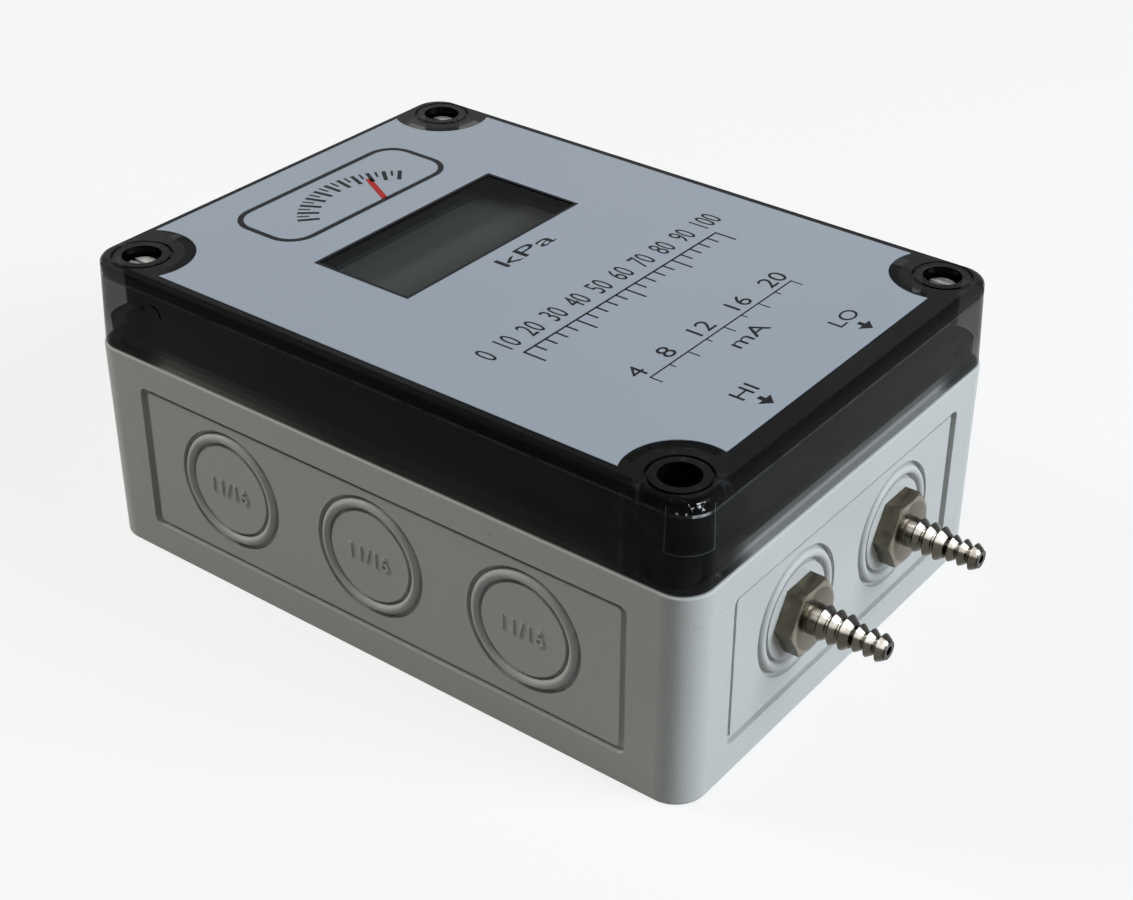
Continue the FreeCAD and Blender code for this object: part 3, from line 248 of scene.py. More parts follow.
def lamp(name, place, aim, size, power, colour=(1, 1, 1), height=None):
    """A soft lamp aimed at a point, square or a strip; places in metres, power in watts."""
    light = bpy.data.lights.new(name, "AREA")
    light.shape = "RECTANGLE"
    light.size = size
    light.size_y = height or size
    light.energy = power
    light.color = colour
    piece = bpy.data.objects.new(name, light)
    piece.location = place
    piece.rotation_mode = "QUATERNION"
    piece.rotation_quaternion = (Vector(aim) - Vector(place)).to_track_quat("-Z", "Y")
    scene.collection.objects.link(piece)


lamp("window_lamp", (0.95, 0.28, 0.55), (0, 0, 0.03), 0.6, 13.0, (0.82, 0.91, 1.0))
lamp("ceiling_lamp", (-0.1, -0.15, 1.15), (0, 0, 0.05), 1.3, 1.9, (0.95, 0.98, 1.0), 0.12)
lamp("side_lamp", (-0.95, -0.42, 0.8), (0, 0, 0.03), 0.3, 6.2, (1.0, 1.0, 0.93))

view = bpy.data.cameras.new("view")
view.lens = 63.888
view.sensor_width = 36
view.shift_x = -0.0589
view.shift_y = -0.0411
view.clip_start = 0.01
camera = bpy.data.objects.new("view", view)
scene.collection.objects.link(camera)
turn, lift, roll = (math.radians(angle) for angle in (35.297, 31.132, 1.355))
back = Vector((math.sin(turn) * math.cos(lift), -math.cos(turn) * math.cos(lift), math.sin(lift)))
level = Vector((math.cos(turn), math.sin(turn), 0))
upward = back.cross(level)
right = level * math.cos(roll) + upward * math.sin(roll)
eye = Vector((193.39, -244.66, 217.42)) * MM
facing = Matrix((right, back.cross(right), back)).transposed().to_4x4()
camera.matrix_world = Matrix.Translation(eye) @ facing
scene.camera = camera

# --- Moulded base ---------------------------------------------------------------------------------
# The lower half of the box, injection-moulded in light grey plastic with a fine satin texture.
# Handling has left faint smears and a few dark specks.

plastic = Finish("base_plastic")
smear = plastic.grain(28, 4, 0.6)
cloud = plastic.spread(smear, 0.3, 0.7)
speck = plastic.spread(plastic.grain(900, 1, 0.4), 0.76, 0.80)
tone = plastic.mix(cloud, (0.545, 0.545, 0.52), (0.60, 0.60, 0.575))
tone = plastic.mix(speck * 0.35, tone, (0.22, 0.21, 0.19))
texture = plastic.grain(3000, 3, 0.65)
plastic.surface(
    Base_Color=tone,
    Roughness=plastic.spread(smear, 0.25, 0.75, 0.42, 0.56),
    Specular_IOR_Level=0.42,
    Normal=plastic.bump(texture, 0.00007, 0.8),
)
coat("base_housing", plastic.material)


def sized_text(name, body, length, height, thickness=0.02):
    """Plain lettering as a flat mesh, scaled to a length and height and centred on the origin."""
    curve = bpy.data.curves.new(name, "FONT")
    curve.body = body
    curve.align_x = "CENTER"
    curve.align_y = "CENTER"
    curve.resolution_u = 4
    text = bpy.data.objects.new(name + "_text", curve)
    scene.collection.objects.link(text)
    bpy.context.view_layer.update()
    mesh = bpy.data.meshes.new_from_object(text)
    bpy.data.objects.remove(text)
    mesh.name = name
    xs = [vertex.co.x for vertex in mesh.vertices]
    ys = [vertex.co.y for vertex in mesh.vertices]
    middle = Vector(((min(xs) + max(xs)) / 2, (min(ys) + max(ys)) / 2, 0))
    scale_x = length / (max(xs) - min(xs))
    scale_y = height / (max(ys) - min(ys))
    for vertex in mesh.vertices:
        shifted = vertex.co - middle
        vertex.co = Vector((shifted.x * scale_x, shifted.y * scale_y, 0)) * MM
    thicken(mesh, thickness)
    return mesh


def thicken(mesh, thickness):
    """Turn a flat mesh into a thin solid that stands on its plane."""
    bm = bmesh.new()
    bm.from_mesh(mesh)
    bmesh.ops.remove_doubles(bm, verts=bm.verts, dist=1e-7)
    raised = bmesh.ops.extrude_face_region(bm, geom=bm.faces[:])
    tops = [item for item in raised["geom"] if isinstance(item, bmesh.types.BMVert)]
    for vertex in tops:
        vertex.co.z += thickness * MM
    bmesh.ops.recalc_face_normals(bm, faces=bm.faces[:])
    bm.to_mesh(mesh)
    bm.free()


def closed_mesh(name, bm, outward=False, sharp=None):
    """The mesh of one under construction; edges over the sharp angle, in degrees, stay hard."""
    if outward:
        bmesh.ops.recalc_face_normals(bm, faces=bm.faces[:])
    mesh = bpy.data.meshes.new(name)
    bm.to_mesh(mesh)
    bm.free()
    if sharp:
        mesh.shade_smooth()
        mesh.set_sharp_from_angle(angle=math.radians(sharp))
    return mesh


def skin(bm, loops):
    """Join closed loops of points, each to the next, with faces."""
    for first, second in zip(loops, loops[1:]):
        for i in range(len(first)):
            bm.faces.new((first[i - 1], first[i], second[i], second[i - 1]))


def add_piece(name, mesh, body, material, transform=None):
    """Put a mesh in the scene as a piece that rides on a body."""
    if transform is not None:
        mesh.transform(transform)
    piece = bpy.data.objects.new(name, mesh)
    scene.collection.objects.link(piece)
    coat(piece, material)
    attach(piece, body)
    return piece


# Raised size numbers moulded on the break-out discs, reading along each wall.
SEAM = 40.4
HOLE_HEIGHT = 21.1
PORT_SIDE = 15.55
WALL_LEAN = math.radians(0.1)
SUNK = 0.02
wall_drawn_in = (SEAM - HOLE_HEIGHT) * math.tan(WALL_LEAN)
disc_level = 0.4 + wall_drawn_in
blank_walls = (
    ("front", (-32.7, 0, 32.7), (0, -1), 47),
    ("rear", (-32.7, 0, 32.7), (0, 1), 47),
    ("end", (-PORT_SIDE, PORT_SIDE), (-1, 0), 65),
)
fitted_wall = ("fitting", (-PORT_SIDE, PORT_SIDE), (1, 0), 65)


def discs(walls):
    """Each disc's name, its wall's outward and level directions, distance and place along it."""
    for side, places, outward, reach in walls:
        across = Vector((-outward[1], outward[0], 0))
        for number, along in enumerate(places, start=1):
            spot = (0, along, HOLE_HEIGHT) if outward[0] else (along, 0, HOLE_HEIGHT)
            yield f"{side}_{number}", outward, across, reach, Vector(spot)


def set_on_wall(mesh, spot, across, up, out):
    """Add a mesh to the base, standing on a wall whose directions are given."""
    turned_out = Matrix((across, up, out)).transposed().to_4x4()
    placed = Matrix.Translation(spot * MM) @ turned_out
    add_piece(mesh.name, mesh, "base", plastic.material, placed)


for place, outward, across, reach, spot in discs(blank_walls):
    out = Vector((*outward, 0))
    spot = out * (reach - disc_level - SUNK) + spot
    mark = sized_text(f"size_mark_{place}", "11/16", 8.6, 3.0, 0.26)
    set_on_wall(mark, spot, across, Vector((0, 0, 1)), out)


def bead_ring(name, middle=10.0, half=0.87, height=1.0, steps=120, section=10):
    """The smooth half-round bead round a disc; sizes in millimetres."""
    bm = bmesh.new()
    profile = []
    for i in range(section + 1):
        angle = math.pi * i / section
        profile.append((middle + half * math.cos(angle), -height + height * math.sin(angle)))
    loops = []
    for step in range(steps):
        angle = 2 * math.pi * step / steps
        points = ((r * math.cos(angle) * MM, r * math.sin(angle) * MM, h * MM) for r, h in profile)
        loops.append([bm.verts.new(point) for point in points])
    for i in range(steps):
        for j in range(section):
            bm.faces.new((loops[i - 1][j], loops[i][j], loops[i][j + 1], loops[i - 1][j + 1]))
        bm.faces.new((loops[i - 1][section], loops[i][section], loops[i][0], loops[i - 1][0]))
    return closed_mesh(name, bm, True, 50)


for place, outward, across, reach, spot in discs((*blank_walls, fitted_wall)):
    out = Vector(
        (outward[0] * math.cos(WALL_LEAN), outward[1] * math.cos(WALL_LEAN), -math.sin(WALL_LEAN))
    )
    spot = Vector((*outward, 0)) * (reach - wall_drawn_in - SUNK) + spot
    set_on_wall(bead_ring(f"disc_bead_{place}"), spot, across, out.cross(across), out)

# --- Smoked lid -----------------------------------------------------------------------------------
# The upper half, moulded in dark smoked polycarbonate, polished and see-through. The base's sealing
# wall shows through its thin skirt. How clear it is, and where it is worn, is painted by zone; so
# are painted highlights, a painted dark reflection on the rim and painted shade in the screw wells.

smoked = Finish("smoked_polycarbonate")
x, y, z = smoked.axes()
far_x = smoked.calculate("ABSOLUTE", x)
far_y = smoked.calculate("ABSOLUTE", y)
corner = smoked.spread(far_x, 0.047, 0.052) * smoked.spread(far_y, 0.030, 0.035)

# How far out a point lies, measured from the rounded rectangle that runs 5 mm inside the rim.
out_x = smoked.calculate("MAXIMUM", far_x - 0.0596, 0)
out_y = smoked.calculate("MAXIMUM", far_y - 0.0416, 0)
outward = smoked.calculate("SQRT", out_x * out_x + out_y * out_y)

# Dust on the top and soft streaks where the plastic flowed. Pale lines along the rim and sparkles
# at its corners are painted highlights, and pale vertical streaks low on the corners are painted
# reflections.
dust = smoked.spread(smoked.grain(1600, 2, 0.5), 0.70, 0.78)
haze = smoked.grain(45, 4, 0.6)
scratch = smoked.grain(260, 3, 0.7, distortion=1.5)
upright = smoked.node(
    "ShaderNodeMapping", {"Vector": smoked.place(), "Scale": (1.0, 1.0, 0.06)}, vector_type="POINT"
)
streak = smoked.spread(smoked.grain(420, 2, 0.6, at=upright), 0.60, 0.74) * corner
low_down = smoked.spread(z, 0.0415, 0.0470, 1.0, 0.25)
lying = smoked.node(
    "ShaderNodeMapping", {"Vector": smoked.place(), "Scale": (0.25, 0.25, 1.6)}, vector_type="POINT"
)
flow = smoked.spread(smoked.grain(70, 3, 0.55, at=lying), 0.42, 0.66)
rim_corner = smoked.spread(out_x, 0.0002, 0.0016) * smoked.spread(out_y, 0.0002, 0.0016)
LIP_LOW, LIP_HIGH = 0.0541, 0.0546
brow = (outward > 0.0034) * (z > LIP_HIGH)
lip = (z > LIP_LOW) * (z < LIP_HIGH) * (outward > 0.0036)
rim_highlight = smoked.spread(smoked.grain(300, 3, 0.7), 0.34, 0.50) * lip
corner_sparkle = smoked.spread(smoked.grain(1100, 2, 0.6), 0.60, 0.64) * rim_corner
corner_sparkle = corner_sparkle * (outward > 0.0041) * (z > 0.0545)
above = z > 0.0476
BOSS_X, BOSS_Y, BOSS_LINE = 0.0592, 0.0412, 0.0002
beside_boss = smoked.calculate(
    "MAXIMUM",
    (far_x > BOSS_X - BOSS_LINE) * (far_x < BOSS_X) * (far_y > 0.0440),
    (far_y > BOSS_Y - BOSS_LINE) * (far_y < BOSS_Y) * (far_x > 0.0610),
)
boss_edge = smoked.calculate(
    "MAXIMUM",
    above * (z < 0.0478) * (far_x > BOSS_X) * (far_y > BOSS_Y),
    above * (z < 0.0556) * beside_boss,
)
shade = smoked.mix(flow, (0.0015, 0.0018, 0.0017), (0.010, 0.011, 0.010))
# Painted dark reflection: the rounded top edge is painted near black.
shade = smoked.mix(brow, shade, (0.001, 0.001, 0.001))
# Painted reflections: pale vertical streaks low on the corners.
shade = smoked.mix(streak * low_down * 0.45, shade, (0.26, 0.28, 0.29))
# Painted highlight: pale lines along the rim, strongest on the end side of its corners.
shade = smoked.mix(rim_highlight * (0.04 + rim_corner * (out_x > out_y) * 0.7), shade, (0.70, 0.72, 0.72))
# Painted highlight: thin pale lines over the edges of the screw bosses inside.
shade = smoked.mix(boss_edge * 0.16, shade, (0.45, 0.47, 0.47))
# Painted highlights: small sparkles on the rounded corners of the rim.
shade = smoked.mix(corner_sparkle, shade, (0.85, 0.86, 0.86))
shade = smoked.mix(dust * 0.12, shade, (0.20, 0.20, 0.19))
SCREW_X, SCREW_Y = 57.1, 39.9
off_screw_x = far_x - SCREW_X * MM
off_screw_y = far_y - SCREW_Y * MM
from_screw = off_screw_x * off_screw_x + off_screw_y * off_screw_y
# Painted shade: the screw wells are painted black and made less see-through.
well = from_screw < 0.00358**2
shade = smoked.mix(well, shade, (0.002, 0.002, 0.002))

# See-through zones: the skirt over the sealing wall, and the top plate clear of the screw bosses.
skirt = smoked.spread(z, 0.0430, 0.0435, 1.0, 0.35) * (z < 0.0446)
on_end = smoked.spread(far_x, 0.0600, 0.0630)
on_left = smoked.spread(x, -0.0500, -0.0050, 1.0, 0.0) * (far_x < 0.0600)
beyond_boss = from_screw > 0.0075**2
beyond_window = smoked.calculate("MAXIMUM", far_x > 0.0480, far_y > 0.0330)
plate = (z > 0.0540) * (far_x < 0.0585) * (far_y < 0.0415) * beyond_boss
thin = smoked.calculate(
    "MAXIMUM",
    skirt * (0.42 + on_end * 0.30 + on_left * 0.28) * (1 - corner * 0.8),
    plate * (0.55 - beyond_window * 0.2),
)
smoked.surface(
    Base_Color=shade,
    Roughness=smoked.spread(haze, 0.3, 0.7, 0.05, 0.13) + brow * (1 - rim_corner) * 0.5,
    IOR=1.5,
    Specular_IOR_Level=0.045,
    Alpha=0.92 - thin - corner * (z < LIP_LOW) * 0.17 + well * 0.2,
    Normal=smoked.bump(scratch, 0.00001, 0.04),
)
coat("lid", smoked.material)

# --- Gasket ---------------------------------------------------------------------------------------
# A closed foam cord that sits on the sealing wall and is pressed by the lid.

foam = Finish("black_foam")
cells = foam.grain(4200, 2, 0.6)
foam.surface(
    Base_Color=foam.ramp(cells, (0.3, (0.012, 0.012, 0.012)), (0.7, (0.035, 0.035, 0.034))),
    Roughness=0.85,
    Normal=foam.bump(cells, 0.00008, 0.6),
)
coat("lid_gasket", foam.material)
coat("port_washers", foam.material)

# --- Face label -----------------------------------------------------------------------------------
# A printed polyester film stuck on the lid, cut back round the screws, with an open display window.
# The print is plain scales, marks and numbers in black, and a small gauge sign with a red needle.

film = Finish("face_film")
sheen = film.grain(14, 3, 0.5)
fibre = film.grain(3000, 2, 0.5)
film.surface(
    Base_Color=film.mix(film.spread(sheen, 0.3, 0.7), (0.349, 0.387, 0.442), (0.377, 0.414, 0.469)),
    Roughness=film.spread(sheen, 0.25, 0.75, 0.32, 0.42),
    Specular_IOR_Level=0.25,
    Normal=film.bump(fibre, 0.00001, 0.3),
)
LABEL_UNDER, LABEL_TOP = 57.0, 57.15
INK_HEIGHT = 0.02


def notched_outline(half_x, half_y, notch, shift, steps=20):
    """Corner points of the label: straight sides and arcs about the four lid screws."""
    points = []
    for sx, sy in ((1, 1), (-1, 1), (-1, -1), (1, -1)):
        centre = (sx * SCREW_X, sy * SCREW_Y)
        edge_x = shift + sx * half_x
        edge_y = sy * half_y
        reach_x = edge_x - centre[0]
        reach_y = edge_y - centre[1]
        on_end = math.atan2(-sy * math.sqrt(notch**2 - reach_x**2), reach_x)
        on_side = math.atan2(reach_y, -sx * math.sqrt(notch**2 - reach_y**2))
        first, last = (on_end, on_side) if sx * sy > 0 else (on_side, on_end)
        while last > first:
            last -= 2 * math.pi
        for step in range(steps + 1):
            angle = first + (last - first) * step / steps
            x, y = centre[0] + notch * math.cos(angle), centre[1] + notch * math.sin(angle)
            points.append((x, y))
    return points


def flat_piece(name, outline, holes, thickness, level):
    """A thin flat solid from an outline and any holes in it, in millimetres."""
    bm = bmesh.new()
    edges = []
    for loop in (outline, *holes):
        verts = [bm.verts.new((x * MM, y * MM, level * MM)) for x, y in loop]
        edges += [bm.edges.new((verts[i - 1], verts[i])) for i in range(len(verts))]
    bmesh.ops.triangle_fill(bm, edges=edges, use_beauty=True, normal=(0, 0, 1))
    mesh = closed_mesh(name, bm)
    thicken(mesh, thickness)
    return mesh


def box_outline(x0, x1, y0, y1, radius=0.0, steps=6):
    """A rectangle, with round corners if a radius is given."""
    if not radius:
        return [(x1, y1), (x0, y1), (x0, y0), (x1, y0)]
    points = []
    for sx, sy, start in ((1, 1, 0), (-1, 1, 90), (-1, -1, 180), (1, -1, 270)):
        cx = (x1 - radius) if sx > 0 else (x0 + radius)
        cy = (y1 - radius) if sy > 0 else (y0 + radius)
        for step in range(steps + 1):
            angle = math.radians(start + 90 * step / steps)
            points.append((cx + radius * math.cos(angle), cy + radius * math.sin(angle)))
    return points


window = box_outline(-31.3, -9.75, -24.0, 23.35)
label = flat_piece(
    "face_label_film",
    notched_outline(60.6, 43.8, 9.4, -1.5),
    [window],
    LABEL_TOP - LABEL_UNDER,
    LABEL_UNDER,
)
label_film = add_piece("face_label_film", label, "lid_assembly", film.material)
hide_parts("face_label")

ink = Finish("black_ink")
ink.surface(
    Base_Color=ink.ramp(ink.grain(900), (0.3, (0.008, 0.008, 0.010)), (0.7, (0.014, 0.014, 0.016))),
    Roughness=0.45,
    Specular_IOR_Level=0.06,
)
red = Finish("red_ink")
red.surface(
    Base_Color=red.ramp(red.grain(700), (0.3, (0.42, 0.022, 0.022)), (0.7, (0.50, 0.035, 0.03))),
    Roughness=0.45,
    Specular_IOR_Level=0.06,
)


def print_flat(name, mesh, material=None):
    """Ink on the film, black unless another is given."""
    return add_piece(name, mesh, "lid_assembly", material or ink.material)


def print_text(name, body, x0, x1, y0, y1):
    """Lettering between two lines; it reads along +Y, with its head towards -X."""
    mesh = sized_text(name, body, y1 - y0, x1 - x0)
    place = Matrix.Translation(Vector(((x0 + x1) / 2, (y0 + y1) / 2, LABEL_TOP)) * MM)
    mesh.transform(place @ Matrix.Rotation(math.pi / 2, 4, "Z"))
    return print_flat(name, mesh)


def print_marks(name, outlines, material=None):
    """Several straight-edged printed marks as one piece."""
    bm = bmesh.new()
    for outline in outlines:
        bm.faces.new([bm.verts.new((x * MM, y * MM, LABEL_TOP * MM)) for x, y in outline])
    mesh = closed_mesh(name, bm)
    thicken(mesh, INK_HEIGHT)
    return print_flat(name, mesh, material)


def print_bars(name, bars):
    """Straight bars, each given as x0, x1, y0, y1."""
    return print_marks(name, [box_outline(*bar) for bar in bars])


def print_shape(name, outline, *holes):
    """One printed shape with its holes."""
    return print_flat(name, flat_piece(name, outline, holes, INK_HEIGHT, LABEL_TOP))


print_shape("window_border", window, box_outline(-30.7, -10.35, -23.4, 22.75))

# Gauge sign: a plain frame, a scale of ticks on an arc and a red needle.
print_shape(
    "sign_frame",
    box_outline(-55.2, -38.2, -22, 22, 5.5, 8),
    box_outline(-54.1, -39.3, -20.9, 20.9, 4.4, 8),
)
DIAL_CENTRE = Vector((-33.5, 0.0))


def spoke(angle, inner, outer, width):
    """A radial bar about the dial's centre; angle 0 points to -X."""
    way = Vector((-math.cos(angle), math.sin(angle)))
    side = Vector((way.y, -way.x)) * width / 2
    near, far = DIAL_CENTRE + way * inner, DIAL_CENTRE + way * outer
    return [tuple(near - side), tuple(far - side), tuple(far + side), tuple(near + side)]


def spokes(name, angles, inner, outer, width, material=None):
    """Radial bars as one piece; angles in degrees."""
    outlines = [spoke(math.radians(angle), inner, outer, width) for angle in angles]
    return print_marks(name, outlines, material)


spokes("sign_ticks", range(-50, 51, 10), 14.0, 18.0, 0.8)
spokes("sign_small_ticks", range(-45, 46, 10), 15.8, 18.0, 0.45)
spokes("sign_needle", [28], 6.2, 15.5, 1.2, red.material)

print_text("unit_mark", "kPa", -7.1, -3.8, -4.6, 9.3)
numbers = "  ".join(str(value) for value in range(0, 101, 10))
print_text("scale_numbers", numbers, 10.6, 14.9, -31.5, 34.5)
print_bars(
    "scale_ticks",
    [
        (16.9, 21.3 if step % 5 == 0 else 19.4, -26 + step * 2.75 - 0.22, -26 + step * 2.75 + 0.22)
        for step in range(21)
    ]
    + [(16.7, 17.1, -26.2, 29.2)],
)
print_text("output_numbers", "4   8   12   16   20", 33.1, 36.5, -21.4, 22.8)
print_bars(
    "output_ticks",
    [
        (37.6, 39.9 if step % 2 == 0 else 38.8, -20 + step * 5.2 - 0.15, -20 + step * 5.2 + 0.15)
        for step in range(9)
    ]
    + [(37.4, 37.7, -20.2, 21.8)],
)
print_text("output_unit", "mA", 40.8, 43.8, -3.6, 5.6)
print_text("high_mark", "HI", 50.2, 53.1, -17.0, -12.2)
print_text("low_mark", "LO", 50.2, 53.1, 12.6, 19.0)
for name, middle in (("high_arrow", -14.6), ("low_arrow", 15.8)):
    arrow = [
        (54.3, middle - 0.5),
        (55.4, middle - 0.5),
        (55.4, middle - 1.8),
        (57.2, middle),
        (55.4, middle + 1.8),
        (55.4, middle + 0.5),
        (54.3, middle + 0.5),
    ]
    print_shape(name, arrow[::-1])

# --- Lid screws and their inserts -----------------------------------------------------------------
# Slotted cheese-head screws of plated steel, captive in the lid, that run down into brass inserts
# pressed into the base's bosses.


LATHE_RINGS = 42000


def metal(name, colour, dark, roughness, axis="Z", centre=(0, 0), pitch=0.0, span=None):
    """Turned metal: lathe rings round an axis, dull patches, and a thread where span says."""
    finish = Finish(name)
    x, y, z = finish.axes()
    along, first, second = (z, x, y) if axis == "Z" else (x, y, z)
    first = first - centre[0] * MM
    second = second - centre[1] * MM
    radius = finish.calculate("SQRT", first * first + second * second)
    rings = finish.calculate("SINE", (radius + along) * LATHE_RINGS)
    patch = finish.grain(420, 4, 0.6)
    height = rings * 0.08 + finish.grain(6000) * 0.3
    normal = finish.bump(height, 0.000015, 0.35)
    if pitch:
        angle = finish.calculate("ARCTAN2", first, second)
        turn = angle / (2 * math.pi) + along / (pitch * MM)
        wave = finish.calculate("PINGPONG", turn, 0.5)
        inside = (along > span[0] * MM) * (along < span[1] * MM)
        normal = finish.bump(wave * inside, 0.0009 * pitch, 1.0, normal)
    finish.surface(
        Base_Color=finish.mix(finish.spread(patch, 0.35, 0.7), dark, colour),
        Metallic=1.0,
        Roughness=finish.spread(patch, 0.3, 0.7, roughness * 0.8, roughness * 1.3),
        Normal=normal,
    )
    return finish.material


corners = ((1, 1), (-1, 1), (-1, -1), (1, -1))
STEEL = ((0.62, 0.61, 0.58), (0.34, 0.33, 0.31))
BRASS = ((0.74, 0.55, 0.27), (0.62, 0.45, 0.21))
NICKEL = ((0.46, 0.43, 0.37), (0.36, 0.33, 0.28))
for number, (sx, sy) in enumerate(corners, start=1):
    centre = (SCREW_X * sx, SCREW_Y * sy)
    steel = metal(f"screw_steel_{number}", *STEEL, 0.45, "Z", centre, 0.7, (34.6, 48.4))
    coat(f"lid_screw_{number}", steel)
coat("thread_inserts", metal("insert_brass", *BRASS, 0.35))

# Slotted caps stand high in three of the four wells. They ride on the lid, clear of its walls, and
# don't turn with the screws below them.
CAP_RADIUS = 2.6
SLOT_HALF_WIDTH = 0.4
cap_steel = metal("cap_steel", (0.66, 0.66, 0.64), (0.46, 0.46, 0.44), 0.45)
slot_angle = math.asin(SLOT_HALF_WIDTH / CAP_RADIUS)
sweep = math.pi - 2 * slot_angle
outlines = [([2 * math.pi * step / 64 for step in range(64)], 53.5, 54.5)]
for start in (slot_angle, math.pi + slot_angle):
    outlines.append(([start + sweep * step / 32 for step in range(33)], 54.48, 55.3))
for number, (sx, sy) in enumerate(corners[:3], start=1):
    bm = bmesh.new()
    for angles, low, high in outlines:
        rings = []
        for radius, z in ((CAP_RADIUS, low), (CAP_RADIUS, high - 0.12), (2.5, high)):
            points = (
                (SCREW_X * sx + radius * math.cos(a), SCREW_Y * sy + radius * math.sin(a), z)
                for a in angles
            )
            rings.append([bm.verts.new(Vector(point) * MM) for point in points])
        skin(bm, rings)
        bm.faces.new(rings[0][::-1])
        bm.faces.new(rings[-1])
    cap = closed_mesh(f"screw_cap_{number}", bm, True)
    add_piece(cap.name, cap, "lid_assembly", cap_steel)

# --- Hose fittings --------------------------------------------------------------------------------
# Nickel-plated brass fittings turned from hexagon bar: a hexagon against the wall, then three large
# and three small barbs. A rubber washer and a back nut hold each one from inside.

port_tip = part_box("port_high")[1][0] / MM
BARB_PITCH = 2.03
barb_root = port_tip - 6 * BARB_PITCH
hex_face = barb_root - 1.5
seat = hex_face - 3.4


def barb(start, peak, last=False):
    """One tooth of the hose end: a steep back, a cone towards the tip and a flat valley."""
    back = ((0, 0.88), (0.20, 0.25), (0.38, 0), (0.52, 0.02))
    front = ((1.35, 0.52), (1.8, 0.95)) if last else ((1.25, 0.56), (1.55, 0.84), (1.75, 0.88))
    return [(start + along, peak - drop) for along, drop in (*back, *front)]


def turned(name, rings, bore, segments=96):
    """A solid turned about X from rings of (x, radius); a ring may also be a function of angle."""
    bm = bmesh.new()
    loops = []
    for ring in rings:
        loop = []
        for step in range(segments):
            angle = 2 * math.pi * step / segments
            x, radius = ring(angle) if callable(ring) else ring
            point = (x * MM, radius * math.cos(angle) * MM, radius * math.sin(angle) * MM)
            loop.append(bm.verts.new(point))
        loops.append(loop)
    first_x, (last_x, last_radius) = rings[0][0], rings[-1]
    mouth = [
        (last_x * MM, v.co.y * bore / last_radius, v.co.z * bore / last_radius) for v in loops[-1]
    ]
    loops.append([bm.verts.new(point) for point in mouth])
    loops.append([bm.verts.new((first_x * MM, v.co.y, v.co.z)) for v in loops[-1]])
    loops.append(loops[0])
    skin(bm, loops)
    return closed_mesh(name, bm, True, 24)


def across_flats(angle):
    """Radius of the hexagon, 12 mm across its flats, at an angle about its axis."""
    return 6.0 / math.cos((angle + math.pi / 2 + math.pi / 6) % (math.pi / 3) - math.pi / 6)


fitting_rings = [
    (49.3, 1.3), (50.9, 1.7), (50.95, 1.4), (52.5, 1.7), (52.55, 1.4), (57.3, 1.4),
    (57.35, 4.5), (57.8, 4.95), (seat, 4.95),
    lambda angle: (seat, across_flats(angle)),
    lambda angle: (hex_face - (across_flats(angle) - 5.7) * 0.45, across_flats(angle)),
    (hex_face, 5.65), (hex_face, 2.75), (barb_root, 2.6),
]
for number in range(3):
    fitting_rings += barb(barb_root + number * BARB_PITCH, 3.1)
for number in range(3):
    fitting_rings += barb(barb_root + (3.12 + number) * BARB_PITCH, 2.45, number == 2)
fitting_rings += [(port_tip - 0.02, 1.62)]


def plated(name, side):
    """Nickel plate gone dull on the hexagon; highlight and shade are painted on the barbs."""
    finish = Finish(name)
    x, y, z = finish.axes()
    y = y - side * PORT_SIDE * MM
    z = z - HOLE_HEIGHT * MM
    radius = finish.calculate("SQRT", y * y + z * z)
    bright = finish.spread(x, (hex_face - 0.1) * MM, (hex_face + 0.8) * MM)
    tarnish = finish.grain(330, 4, 0.6)
    patch = finish.spread(tarnish, 0.3, 0.7)
    dull = finish.mix(patch, (0.095, 0.082, 0.058), (0.165, 0.146, 0.110))
    # Painted highlight: the hexagon's corners next to its face are painted lighter.
    corner = (x > hex_face * MM - 0.0003) * (radius > 0.0055)
    dull = finish.mix(corner * 0.4, dull, (0.42, 0.39, 0.33))
    clean = finish.mix(patch, (0.060, 0.057, 0.042), (0.115, 0.108, 0.088))
    # Painted highlight: a bright band along the upper side of the barbs; painted shade on one side.
    upward = (z * 0.829 - y * 0.556) / radius
    shine = finish.mix(patch, (0.50, 0.44, 0.36), (1.0, 0.97, 0.90))
    clean = finish.mix(finish.spread(upward, 0.90, 0.965), clean, shine)
    shaded = finish.spread((y * 0.67 + z * 0.74) / radius, 0.56, 0.70)
    clean = finish.mix(shaded, clean, (0.042, 0.040, 0.039))
    # Painted shade in the valleys between the barbs.
    tooth = ((x / MM - barb_root) / BARB_PITCH - 0.98) * (2 * math.pi)
    valley = finish.spread(finish.calculate("COSINE", tooth), 0.62, 0.88)
    clean = finish.mix(valley * (x > barb_root * MM) * 0.8, clean, (0.030, 0.026, 0.020))
    rings = finish.calculate("SINE", (radius + x) * LATHE_RINGS)
    normal = finish.bump(rings * 0.08 + finish.grain(5200, 2, 0.5) * 0.3, 0.000012, 0.4)
    turn = finish.calculate("ARCTAN2", y, z) / (2 * math.pi) + x / MM
    thread = finish.calculate("PINGPONG", turn, 0.5)
    shank = (x > 0.0575) * (x < seat * MM - 0.0004)
    finish.surface(
        Base_Color=finish.mix(bright, dull, clean),
        Metallic=1.0,
        Roughness=finish.spread(tarnish, 0.3, 0.7, 0.24, 0.36) - bright * 0.13,
        Normal=finish.bump(thread * shank, 0.0009, 1.0, normal),
    )
    return finish.material


for name, side in (("high", -1), ("low", 1)):
    fitting = add_piece(
        f"fitting_{name}",
        turned(f"fitting_{name}", fitting_rings, 0.8),
        "base",
        plated(f"nickel_{name}", side),
        Matrix.Translation(Vector((0, side * PORT_SIDE, HOLE_HEIGHT)) * MM),
    )
    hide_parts(f"port_{name}")
coat("port_nuts", metal("nut_nickel", *NICKEL, 0.3, "X", (PORT_SIDE, HOLE_HEIGHT)))

# --- Tubes and pressure sensor --------------------------------------------------------------------
# Two soft silicone tubes join the fittings to the sensor's nozzles. The sensor is a white moulding.

